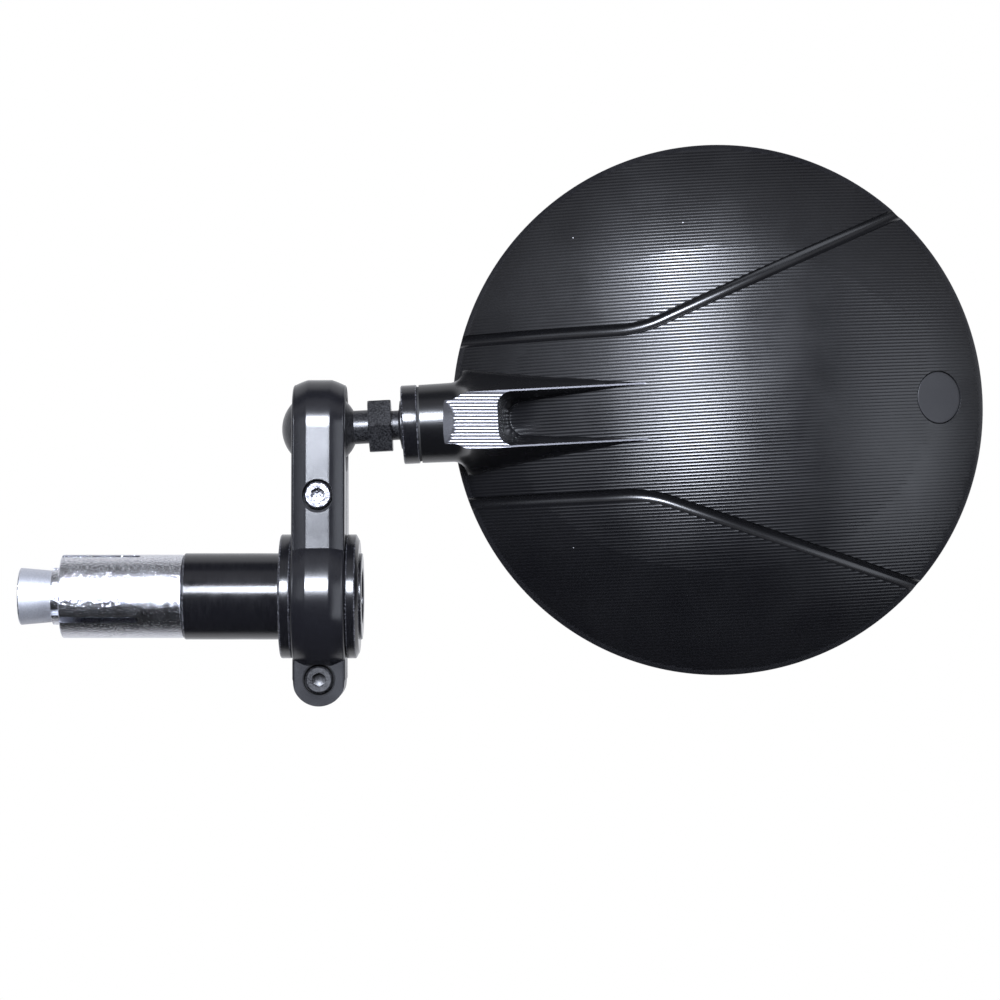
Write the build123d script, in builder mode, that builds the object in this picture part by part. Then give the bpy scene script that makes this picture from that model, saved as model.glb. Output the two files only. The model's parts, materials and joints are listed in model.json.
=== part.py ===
from build123d import *
import os
from math import atan, cos, degrees, radians, sin, sqrt, tan

# Bar-end mirror: a round mirror head on a ball-jointed arm, clamped to an expanding bar plug.
#
# The bar axis is X and points out of the handlebar, Z is up, and the glass faces +Y, towards
# the rider. The origin is on the bar axis, at the inboard face of the bar-end flange.
# The stem carries its own axes: u along the stem from the ball centre, v across it and upwards,
# and w towards the back of the head. All sizes are in millimetres.

os.makedirs("parts", exist_ok=True)

# ---------------------------------------------------------------- clearances
running_clearance = 0.05  # radial, between a shaft and the hole that it turns or slides in
thread_clearance = 0.05  # radial, between a screw and its plain-modelled thread
side_clearance = 0.1  # axial, between faces that turn past each other
thrust_clearance = 0.05  # axial, each side of the swivel's thrust faces

# ---------------------------------------------------------------- bar-end body
plug_diameter = 17.0
plug_length = 19.0
plug_chamfer = 0.6
flange_lip = 2.2  # above the journal
flange_width = 2.4
flange_chamfer = 0.35
journal_diameter = 20.0

# ---------------------------------------------------------------- arm
arm_width = 10.4
ring_wall = 4.45
crease_height = 9.6  # where the arm's flat front and back meet the ring
ball_height = 32.9  # ball centre above the bar axis
ball_end_wall = 1.5  # round the ball's bore
front_strip_width = 4.5  # flat left between the two side bevels
bevel_depth = 1.05
ear_half_thickness = 5.4
ear_reach = 1.7  # ring screw's axis beyond the ring
ball_screw_land = 4.8  # ball screw's axis below the ball's bore
slit_width = 1.2
edge_round = 0.3

# ---------------------------------------------------------------- pinch screws, M3
pinch_diameter = 3.0
pinch_head_diameter = 5.5
pinch_head_height = 3.0
pinch_socket_width = 2.5
pinch_socket_depth = 1.5
pinch_hole_clearance = 0.15
counterbore_clearance = 0.25
pinch_recess = 0.2  # head below the arm's surface
ball_screw_length = 16.0
ring_screw_length = 6.5

# ---------------------------------------------------------------- end cap
cap_width = 2.5
cap_bevel_axial = 0.65
cap_bevel_radial = 1.2
boss_wall = 3.2  # round the bolt head's bore
boss_height = 0.55
cap_spigot_wall = 1.7
cap_floor = 1.3

# ---------------------------------------------------------------- expander bolt, M6
bolt_diameter = 6.0
bolt_length = 60.0
bolt_head_diameter = 10.0
bolt_head_height = 6.0
bolt_head_recess = 0.6
bolt_head_clearance = 0.3
bolt_socket_width = 5.0
bolt_socket_depth = 3.0
bolt_hole_clearance = 0.2
bolt_edge = 0.5
washer_thickness = 1.0

# ---------------------------------------------------------------- expander
expander_step = 0.3  # smaller than the plug all round
expander_length = 24.0
expander_bore = 9.0
expander_end_wall = 5.0
expander_chamfer = 0.4
nose_wall = 0.39
nose_length = 1.8
slot_width = 1.4
slot_length = 15.7  # behind the nose's shoulder
slot_count = 3
first_slot_angle = 83.0  # from the back of the mirror, upwards
locating_diameter = 10.0
locating_length = 2.0
cone_big_diameter = 11.3
cone_half_angle = 5.2
cone_length = 11.0
cone_stand_out = 6.5
cone_chamfer = 0.25
wedge_clearance = 0.15

# ---------------------------------------------------------------- ball joint
ball_diameter = 15.0
stem_tilt = 3.0  # degrees that the stem rises outboard
seat_wall = 0.6  # seat's wall at the ball's widest
seat_lip_land = 0.5  # bevelled mouth, each side of the seat's spherical zone
seat_slit_width = 1.0
bore_shoulder = 0.8
shoulder_room = 0.6  # between the ball and the shoulder
stem_neck_diameter = 6.6
stem_neck_length = 2.1  # bare neck between the ball and the hexagon
hex_width = 10.0
hex_length = 4.5
hex_corner = 0.5
shank_diameter = 5.8
shank_length = 1.5
thrust_diameter = 9.5
thrust_width = 0.55
swivel_diameter = 5.0
stud_protrusion = 0.95  # beyond the nut
stud_edge = 0.5

# ---------------------------------------------------------------- head swivel
collar_lip = 0.05  # proud of the neck
collar_width = 3.2
collar_thread_step = 0.3  # larger than the cavity all round
collar_thread_length = 3.8
bush_wall = 1.05
collar_chamfer = 0.3
seal_thickness = 0.4
seal_recess = 0.35
bush_flange_gap = 0.4  # to the cavity's wall
bush_flange_width = 0.8
stud_washer_gap = 0.6  # to the cavity's wall
stud_washer_thickness = 0.8
nut_width = 8.0
nut_height = 4.0
nut_corner = 0.3
nut_room = 0.58  # between the nut's corners and the cavity's wall

# ---------------------------------------------------------------- head
head_diameter = 106.0
dome_radius = 91.0
dome_apex = 8.0  # in front of the stem axis
head_wall = 2.5
rim_bevel = 0.6
rim_band = 4.3  # straight side of the rim
ledge_depth = 3.3  # from the rim's face in to the ledge
ledge_width = 3.5
neck_diameter = 15.4
neck_reach = 6.2  # from the neck's face to the head's rim
neck_flare = 1.0
neck_chamfer = 0.3
neck_cavity_room = 1.8  # beyond the stud's end
neck_tail = 1.0  # the neck stops this far short of the cavity's end
neck_tail_chamfer = 2.0
fork_flat_drop = 1.1  # below the top of the neck
fork_width = 11.2
fork_draft = 18.0
fork_foot_gap = 1.0  # between the fork's foot and the rim's glass side
fork_flat_start = 4.8  # from the neck's face
fork_scallop = 1.2
pocket_wall = 3.0  # between the cavity's end and the pocket
pocket_side = 0.3  # tine left at the top, each side of the pocket
pocket_draft = 13.0
pocket_corner = 2.2
groove_offset = 16.3
groove_bend = -15.3  # along u, from the head centre
groove_angle = 21.6
groove_bend_radius = 24.0
groove_width = 2.4
groove_depth = 0.75
badge_inset = 9.4  # badge centre in from the rim
badge_diameter = 10.2
badge_thickness = 0.85
badge_gap = 0.2
badge_seat_depth = 1.0

# ---------------------------------------------------------------- glass
glass_thickness = 2.0
glass_radius = 1000.0  # radius of the convex face
glass_gap = 0.2
pad_thickness = 1.0
pad_inset = 0.2

# ---------------------------------------------------------------- places worked out from the above
flange_diameter = journal_diameter + 2 * flange_lip
expander_diameter = plug_diameter - 2 * expander_step
ring_diameter = journal_diameter + 2 * (running_clearance + ring_wall)
arm_inner_face = flange_width + side_clearance
arm_outer_face = arm_inner_face + arm_width
arm_middle = arm_inner_face + arm_width / 2
journal_end = arm_outer_face + side_clearance
cap_face = journal_end + cap_width
boss_face = cap_face + boss_height
bolt_head_seat = boss_face - bolt_head_recess - bolt_head_height
cap_floor_face = bolt_head_seat - washer_thickness
cap_spigot_end = cap_floor_face - cap_floor
cap_bore_radius = bolt_head_diameter / 2 + bolt_head_clearance
cap_spigot_radius = cap_bore_radius + cap_spigot_wall
boss_radius = cap_bore_radius + boss_wall
bolt_hole_diameter = bolt_diameter + 2 * bolt_hole_clearance
pinch_hole_diameter = pinch_diameter + 2 * pinch_hole_clearance
counterbore_diameter = pinch_head_diameter + 2 * counterbore_clearance
expander_shoulder = -plug_length - expander_length
nose_face = expander_shoulder - nose_length
cone_face = nose_face - cone_stand_out
cone_slope = tan(radians(cone_half_angle))
mouth_radius = cone_big_diameter / 2 - cone_stand_out * cone_slope + wedge_clearance
nose_diameter = 2 * (mouth_radius + nose_wall)
ring_radius = ring_diameter / 2
ear_drop = ring_radius + ear_reach
ball_radius = ball_diameter / 2
seat_outer_radius = ball_radius + running_clearance + seat_wall
ball_bore_radius = seat_outer_radius + running_clearance
arm_top_radius = ball_bore_radius + ball_end_wall
seat_lip = arm_width / 2 - seat_lip_land
shoulder_radius = sqrt(ball_radius**2 - (arm_width / 2 - bore_shoulder) ** 2) + shoulder_room

tilt = radians(stem_tilt)
stem_direction = (cos(tilt), 0, sin(tilt))
across_direction = (sin(tilt), 0, -cos(tilt))
ball_centre = (arm_middle, 0, ball_height)
stem_axis = Axis(ball_centre, stem_direction)
stem_plan = Plane(origin=ball_centre, x_dir=stem_direction, z_dir=(0, -1, 0))
stem_side = Plane(origin=ball_centre, x_dir=stem_direction, z_dir=across_direction)
stem_end = Plane(origin=ball_centre, x_dir=(0, -1, 0), z_dir=stem_direction)

hex_start = ball_radius + stem_neck_length
hex_end = hex_start + hex_length
thrust_start = hex_end + shank_length
collar_start = thrust_start + thrust_width + thrust_clearance
collar_end = collar_start + collar_width
neck_start = collar_end + seal_thickness
collar_thread_end = neck_start + collar_thread_length
bush_end = collar_thread_end + bush_flange_width
stud_washer_start = bush_end + thrust_clearance
nut_start = stud_washer_start + stud_washer_thickness
stud_end = nut_start + nut_height + stud_protrusion
swivel_bore = swivel_diameter / 2 + running_clearance
collar_bore_radius = swivel_bore + bush_wall + running_clearance
neck_cavity_radius = nut_width / sqrt(3) + nut_room
collar_thread_radius = neck_cavity_radius + collar_thread_step
collar_radius = neck_diameter / 2 + collar_lip
neck_cavity_end = stud_end + neck_cavity_room
neck_end = neck_cavity_end - neck_tail
pocket_start = neck_cavity_end + pocket_wall
fork_top = neck_diameter / 2 - fork_flat_drop

head_distance = neck_start + neck_reach + head_diameter / 2
head_centre = stem_plan.from_local_coords((head_distance, 0, 0))
head_axis = Axis(head_centre, (0, -1, 0))
head_plan = Plane(origin=head_centre, x_dir=stem_direction, z_dir=(0, -1, 0))
head_side = Plane(origin=head_centre, x_dir=stem_direction, z_dir=across_direction)
head_radius = head_diameter / 2
sphere_middle = dome_apex - dome_radius


def dome_height(radius, sphere=dome_radius):
    """Height above the stem axis of a sphere about the dome's centre."""
    return sphere_middle + sqrt(sphere**2 - radius**2)


edge_radius = head_radius - rim_bevel
rim_back = dome_height(edge_radius) - rim_bevel - rim_band
badge_distance = head_radius - badge_inset
recess_radius = head_radius - head_wall
ledge_face = rim_back + ledge_depth
ledge_radius = recess_radius - ledge_width
glass_back = ledge_face - pad_thickness
glass_edge_radius = recess_radius - glass_gap


def hexagon_block(start, width, length, corner):
    """Hexagon along the stem, with its corners turned off at both ends."""
    corner_radius = width / sqrt(3)
    with BuildPart() as block:
        with BuildSketch(stem_end.offset(start)):
            RegularPolygon(width / 2, 6, major_radius=False)
        extrude(amount=length)
        with BuildSketch(stem_plan):
            with BuildLine():
                Polyline(
                    (start, 0),
                    (start, corner_radius - corner),
                    (start + corner / 2, corner_radius),
                    (start + length - corner / 2, corner_radius),
                    (start + length, corner_radius - corner),
                    (start + length, 0),
                    close=True,
                )
            make_face()
        revolve(axis=stem_axis, mode=Mode.INTERSECT)
    return block.part


def save(node, solid):
    """Label a finished piece and write it as its own STEP file."""
    solid.label = node
    export_step(solid, f"parts/{node}.step")


# ================================================================ bar plug
with BuildPart() as bar_end_body:
    with BuildSketch(Plane.XZ):
        with BuildLine():
            Polyline(
                (-plug_length, 0),
                (-plug_length, plug_diameter / 2 - plug_chamfer),
                (-plug_length + plug_chamfer, plug_diameter / 2),
                (0, plug_diameter / 2),
                (0, flange_diameter / 2 - flange_chamfer),
                (flange_chamfer, flange_diameter / 2),
                (flange_width - flange_chamfer, flange_diameter / 2),
                (flange_width, flange_diameter / 2 - flange_chamfer),
                (flange_width, journal_diameter / 2),
                (journal_end, journal_diameter / 2),
                (journal_end, 0),
                close=True,
            )
        make_face()
    revolve(axis=Axis.X)
    with BuildSketch(Plane.YZ.offset(journal_end)):
        Circle(cap_spigot_radius + running_clearance)
    extrude(amount=-(journal_end - cap_spigot_end + side_clearance), mode=Mode.SUBTRACT)
    with BuildSketch(Plane.YZ.offset(-plug_length)):
        Circle(locating_diameter / 2 + running_clearance)
    extrude(amount=locating_length + side_clearance, mode=Mode.SUBTRACT)
    with BuildSketch(Plane.YZ.offset(-plug_length)):
        Circle(bolt_hole_diameter / 2)
    extrude(amount=plug_length + journal_end, mode=Mode.SUBTRACT)
save("bar_end_body", bar_end_body.part)

with BuildPart() as end_cap:
    with BuildSketch(Plane.XZ):
        with BuildLine():
            Polyline(
                (cap_spigot_end, bolt_hole_diameter / 2),
                (cap_spigot_end, cap_spigot_radius),
                (journal_end, cap_spigot_radius),
                (journal_end, flange_diameter / 2 - flange_chamfer),
                (journal_end + flange_chamfer, flange_diameter / 2),
                (cap_face - cap_bevel_axial, flange_diameter / 2),
                (cap_face, flange_diameter / 2 - cap_bevel_radial),
                (cap_face, boss_radius),
                (boss_face, boss_radius),
                (boss_face, cap_bore_radius),
                (cap_floor_face, cap_bore_radius),
                (cap_floor_face, bolt_hole_diameter / 2),
                close=True,
            )
        make_face()
    revolve(axis=Axis.X)
save("end_cap", end_cap.part)

with BuildPart() as bolt_washer:
    with BuildSketch(Plane.YZ.offset(cap_floor_face)):
        Circle(bolt_head_diameter / 2)
        Circle(bolt_hole_diameter / 2, mode=Mode.SUBTRACT)
    extrude(amount=washer_thickness)
save("bolt_washer", bolt_washer.part)

with BuildPart() as expander_bolt:
    with BuildSketch(Plane.XZ):
        with BuildLine():
            bolt_tip = bolt_head_seat - bolt_length
            bolt_head_top = bolt_head_seat + bolt_head_height
            Polyline(
                (bolt_tip, 0),
                (bolt_tip, bolt_diameter / 2 - bolt_edge),
                (bolt_tip + bolt_edge, bolt_diameter / 2),
                (bolt_head_seat, bolt_diameter / 2),
                (bolt_head_seat, bolt_head_diameter / 2),
                (bolt_head_top - bolt_edge, bolt_head_diameter / 2),
                (bolt_head_top, bolt_head_diameter / 2 - bolt_edge),
                (bolt_head_top, 0),
                close=True,
            )
        make_face()
    revolve(axis=Axis.X)
    with BuildSketch(Plane.YZ.offset(bolt_head_top)):
        RegularPolygon(bolt_socket_width / 2, 6, major_radius=False)
    extrude(amount=-bolt_socket_depth, mode=Mode.SUBTRACT)
save("expander_bolt", expander_bolt.part)

with BuildPart() as expander_sleeve:
    bore_start = nose_face + (mouth_radius - expander_bore / 2) / cone_slope
    with BuildSketch(Plane.XZ):
        with BuildLine():
            Polyline(
                (nose_face, mouth_radius),
                (nose_face, nose_diameter / 2),
                (expander_shoulder, nose_diameter / 2),
                (expander_shoulder, expander_diameter / 2 - expander_chamfer),
                (expander_shoulder + expander_chamfer, expander_diameter / 2),
                (-plug_length - expander_chamfer, expander_diameter / 2),
                (-plug_length, expander_diameter / 2 - expander_chamfer),
                (-plug_length, locating_diameter / 2),
                (-plug_length + locating_length, locating_diameter / 2),
                (-plug_length + locating_length, bolt_hole_diameter / 2),
                (-plug_length - expander_end_wall, bolt_hole_diameter / 2),
                (-plug_length - expander_end_wall, expander_bore / 2),
                (bore_start, expander_bore / 2),
                close=True,
            )
        make_face()
    revolve(axis=Axis.X)
    for slot in range(slot_count):
        slot_turn = first_slot_angle + 360 * slot / slot_count
        outwards = (0, -cos(radians(slot_turn)), sin(radians(slot_turn)))
        slot_plane = Plane(origin=(nose_face, 0, 0), x_dir=(1, 0, 0), z_dir=outwards)
        with BuildSketch(slot_plane):
            with Locations(((nose_length + slot_length) / 2, 0)):
                Rectangle(nose_length + slot_length, slot_width)
        extrude(amount=expander_diameter, mode=Mode.SUBTRACT)
save("expander_sleeve", expander_sleeve.part)

with BuildPart() as wedge_cone:
    big_radius = cone_big_diameter / 2
    small_radius = big_radius - cone_length * cone_slope
    with BuildSketch(Plane.XZ):
        with BuildLine():
            Polyline(
                (cone_face, bolt_diameter / 2 + thread_clearance),
                (cone_face, big_radius - cone_chamfer),
                (cone_face + cone_chamfer, big_radius - cone_chamfer * cone_slope),
                (cone_face + cone_length, small_radius),
                (cone_face + cone_length, bolt_diameter / 2 + thread_clearance),
                close=True,
            )
        make_face()
    revolve(axis=Axis.X)
save("wedge_cone", wedge_cone.part)


# ================================================================ arm
foot_half_thickness = sqrt(ring_radius**2 - crease_height**2)
ear_top = -sqrt(ring_radius**2 - ear_half_thickness**2)
ear_bottom = -ear_drop - arm_width / 2
bevel_run = (arm_width - front_strip_width) / 2
bevel_angle = degrees(atan(bevel_depth / bevel_run))
ball_screw_height = ball_height - ball_bore_radius - ball_screw_land
screw_rise = (ball_screw_height - crease_height) / (ball_height - crease_height)
ball_screw_front = foot_half_thickness + (arm_top_radius - foot_half_thickness) * screw_rise
seat_depth = pinch_recess + pinch_head_height
screws = {
    "ball_pinch_screw": (ball_screw_height, ball_screw_front - seat_depth, ball_screw_length),
    "ring_pinch_screw": (-ear_drop, ear_half_thickness - seat_depth, ring_screw_length),
}

with BuildPart() as mirror_arm:
    with BuildSketch(Plane.YZ.offset(arm_middle)):
        with BuildLine():
            ThreePointArc(
                (-arm_top_radius, ball_height),
                (0, ball_height + arm_top_radius),
                (arm_top_radius, ball_height),
            )
            Line((arm_top_radius, ball_height), (foot_half_thickness, crease_height))
            ThreePointArc(
                (foot_half_thickness, crease_height),
                (ring_radius, 0),
                (ear_half_thickness, ear_top),
            )
            Polyline(
                (ear_half_thickness, ear_top),
                (ear_half_thickness, ear_bottom),
                (-ear_half_thickness, ear_bottom),
                (-ear_half_thickness, ear_top),
            )
            ThreePointArc(
                (-ear_half_thickness, ear_top),
                (-ring_radius, 0),
                (-foot_half_thickness, crease_height),
            )
            Line((-foot_half_thickness, crease_height), (-arm_top_radius, ball_height))
        make_face()
    extrude(amount=front_strip_width / 2, both=True)
    for side in (0, -1):
        extrude(faces().sort_by(Axis.X)[side], amount=bevel_run, taper=bevel_angle)
    # the ear ends in a half round across the arm's whole width
    with BuildSketch(Plane.XZ.offset(-ring_diameter)):
        with Locations((arm_middle, (ball_height + arm_top_radius - ear_drop) / 2)):
            Rectangle(arm_width, ball_height + arm_top_radius + ear_drop)
        with Locations((arm_middle, -ear_drop)):
            Circle(arm_width / 2)
    extrude(amount=2 * ring_diameter, mode=Mode.INTERSECT)
    fillet(faces().filter_by(Axis.X).edges(), edge_round)
    # ring bore, and the ball bore with a shoulder at its inboard end
    with BuildSketch(Plane.YZ.offset(arm_inner_face)):
        Circle(journal_diameter / 2 + running_clearance)
        with Locations((0, ball_height)):
            Circle(shoulder_radius)
    extrude(amount=arm_width, mode=Mode.SUBTRACT)
    with BuildSketch(Plane.YZ.offset(arm_inner_face + bore_shoulder)):
        with Locations((0, ball_height)):
            Circle(ball_bore_radius)
    extrude(amount=arm_width - bore_shoulder, mode=Mode.SUBTRACT)
    # one slit from the ball bore down through the ring and the ear
    with BuildSketch(Plane.YZ.offset(arm_inner_face)):
        with Locations((0, (ball_height + ear_bottom) / 2)):
            Rectangle(slit_width, ball_height - ear_bottom)
    extrude(amount=arm_width, mode=Mode.SUBTRACT)
    # pinch screw holes: counterbore and clearance in front of the slit, thread behind it
    for height, head_seat, _ in screws.values():
        with BuildSketch(Plane.XZ.offset(head_seat)):
            with Locations((arm_middle, height)):
                Circle(counterbore_diameter / 2)
        extrude(amount=ring_diameter, mode=Mode.SUBTRACT)
        with BuildSketch(Plane.XZ):
            with Locations((arm_middle, height)):
                Circle(pinch_hole_diameter / 2)
        extrude(amount=ring_diameter, mode=Mode.SUBTRACT)
        with BuildSketch(Plane.XZ):
            with Locations((arm_middle, height)):
                Circle(pinch_diameter / 2 + thread_clearance)
        extrude(amount=-ring_diameter, mode=Mode.SUBTRACT)
save("mirror_arm", mirror_arm.part)

for node, (height, head_seat, length) in screws.items():
    with BuildPart() as pinch_screw:
        with BuildSketch(Plane.XZ.offset(head_seat)):
            with Locations((arm_middle, height)):
                Circle(pinch_head_diameter / 2)
        extrude(amount=pinch_head_height)
        chamfer(faces().sort_by(Axis.Y)[0].edges(), edge_round)
        with BuildSketch(Plane.XZ.offset(head_seat)):
            with Locations((arm_middle, height)):
                Circle(pinch_diameter / 2)
        extrude(amount=-length)
        with BuildSketch(Plane.XZ.offset(head_seat + pinch_head_height)):
            with Locations((arm_middle, height)):
                RegularPolygon(pinch_socket_width / 2, 6, major_radius=False)
        extrude(amount=-pinch_socket_depth, mode=Mode.SUBTRACT)
    save(node, pinch_screw.part)

# The seat is a split nylon ring round the ball: a ball pocket inside, a plain bush outside.
seat_inner_face = arm_inner_face + bore_shoulder + thrust_clearance
seat_sphere_radius = ball_radius + running_clearance
seat_lip_radius = sqrt(seat_sphere_radius**2 - seat_lip**2)
with BuildPart() as ball_seat:
    with BuildSketch(Plane.YZ.offset(seat_inner_face)):
        with Locations((0, ball_height)):
            Circle(seat_outer_radius)
    extrude(amount=arm_outer_face - seat_inner_face)
    with Locations(ball_centre):
        Sphere(seat_sphere_radius, mode=Mode.SUBTRACT)
    for lip_face, outwards in ((arm_middle + seat_lip, 1), (arm_middle - seat_lip, -1)):
        mouth_plane = Plane(origin=(lip_face, 0, ball_height), z_dir=(outwards, 0, 0))
        with BuildSketch(mouth_plane):
            Circle(seat_lip_radius)
        extrude(amount=seat_lip_land, taper=-45, mode=Mode.SUBTRACT)
    with BuildSketch(Plane.YZ.offset(seat_inner_face)):
        with Locations((0, ball_height - seat_outer_radius)):
            Rectangle(seat_slit_width, 2 * seat_outer_radius)
    extrude(amount=arm_width, mode=Mode.SUBTRACT)
save("ball_seat", ball_seat.part)


# ================================================================ ball stud and swivel
stud_hexagon = hexagon_block(hex_start, hex_width, hex_length, hex_corner)
with BuildPart() as ball_stud:
    neck_radius = stem_neck_diameter / 2
    neck_root = sqrt(ball_radius**2 - neck_radius**2)
    with BuildSketch(stem_plan):
        with BuildLine():
            ThreePointArc((-ball_radius, 0), (0, ball_radius), (neck_root, neck_radius))
            Polyline(
                (neck_root, neck_radius),
                (hex_end, neck_radius),
                (hex_end, shank_diameter / 2),
                (thrust_start, shank_diameter / 2),
                (thrust_start + thrust_width / 2, thrust_diameter / 2),
                (thrust_start + thrust_width, thrust_diameter / 2),
                (thrust_start + thrust_width, swivel_diameter / 2),
                (stud_end - stud_edge, swivel_diameter / 2),
                (stud_end, swivel_diameter / 2 - stud_edge),
                (stud_end, 0),
                (-ball_radius, 0),
            )
        make_face()
    revolve(axis=stem_axis)
    add(stud_hexagon)
save("ball_stud", ball_stud.part)

with BuildPart() as stud_washer:
    with BuildSketch(stem_end.offset(stud_washer_start)):
        Circle(neck_cavity_radius - stud_washer_gap)
        Circle(swivel_bore, mode=Mode.SUBTRACT)
    extrude(amount=stud_washer_thickness)
save("stud_washer", stud_washer.part)

nut_hexagon = hexagon_block(nut_start, nut_width, nut_height, nut_corner)
with BuildPart() as stud_nut:
    add(nut_hexagon)
    with BuildSketch(stem_end.offset(nut_start)):
        Circle(swivel_diameter / 2 + thread_clearance)
    extrude(amount=nut_height, mode=Mode.SUBTRACT)
save("stud_nut", stud_nut.part)

with BuildPart() as neck_collar:
    with BuildSketch(stem_plan):
        with BuildLine():
            Polyline(
                (collar_start, collar_bore_radius),
                (collar_start, collar_radius - collar_chamfer),
                (collar_start + collar_chamfer, collar_radius),
                (collar_end - collar_chamfer, collar_radius),
                (collar_end, collar_radius - collar_chamfer),
                (collar_end, collar_thread_radius),
                (collar_thread_end, collar_thread_radius),
                (collar_thread_end, collar_bore_radius),
                close=True,
            )
        make_face()
    revolve(axis=stem_axis)
save("neck_collar", neck_collar.part)

with BuildPart() as collar_seal:
    with BuildSketch(stem_end.offset(collar_end)):
        Circle(neck_diameter / 2 - seal_recess)
        Circle(collar_thread_radius + running_clearance, mode=Mode.SUBTRACT)
    extrude(amount=seal_thickness)
save("collar_seal", collar_seal.part)

with BuildPart() as neck_bush:
    with BuildSketch(stem_end.offset(collar_start + thrust_clearance)):
        Circle(collar_bore_radius - running_clearance)
    extrude(amount=collar_thread_end - collar_start - thrust_clearance)
    with BuildSketch(stem_end.offset(collar_thread_end)):
        Circle(neck_cavity_radius - bush_flange_gap)
    extrude(amount=bush_flange_width)
    with BuildSketch(stem_end.offset(collar_start)):
        Circle(swivel_bore)
    extrude(amount=bush_end - collar_start, mode=Mode.SUBTRACT)
save("neck_bush", neck_bush.part)


# ================================================================ mirror head
# The fork is two thin tines that run up from the neck and die out on the dome.
into_head = Plane(
    origin=head_plan.from_local_coords((0, 0, fork_top)), x_dir=stem_direction, z_dir=(0, 1, 0)
)
fork_depth = fork_top - rim_back
tip_distance = sqrt(dome_radius**2 - (fork_top - sphere_middle) ** 2)
fork_run = head_radius - tip_distance + fork_width
pocket_depth = fork_top - dome_height(head_distance - pocket_start)
with BuildPart() as fork:
    with BuildSketch(into_head):
        with Locations((-head_radius + fork_run / 2, 0)):
            Rectangle(fork_run, fork_width)
    extrude(amount=fork_depth - fork_foot_gap, taper=-fork_draft)
    with BuildSketch(into_head):
        with Locations((pocket_start - head_distance, 0)):
            pocket = Rectangle(
                head_distance - pocket_start,
                fork_width - 2 * pocket_side,
                align=(Align.MIN, Align.CENTER),
            )
        fillet(pocket.vertices().group_by(Axis.X)[0], pocket_corner)
    extrude(amount=pocket_depth, taper=pocket_draft, mode=Mode.SUBTRACT)
    with BuildSketch(into_head):
        Circle(head_radius)
    extrude(amount=fork_depth, mode=Mode.INTERSECT)

# Two styling grooves follow the dome: in from the rim beside the neck, round a bend, and out.
sphere_centre = head_plan.from_local_coords((0, 0, sphere_middle))
bend_angle = radians(groove_angle)
grooves = []
for side in (1, -1):
    with BuildPart() as groove:
        with BuildSketch(head_plan.offset(dome_apex)):
            with BuildLine():
                FilletPolyline(
                    (-head_radius, side * groove_offset),
                    (groove_bend, side * groove_offset),
                    (
                        groove_bend + head_diameter * cos(bend_angle),
                        side * (groove_offset + head_diameter * sin(bend_angle)),
                    ),
                    radius=groove_bend_radius,
                )
            trace(line_width=groove_width)
        extrude(amount=rim_back - dome_apex)
        with Locations(sphere_centre):
            Sphere(dome_radius - groove_depth, mode=Mode.SUBTRACT)
    grooves.append(groove.part)

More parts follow.
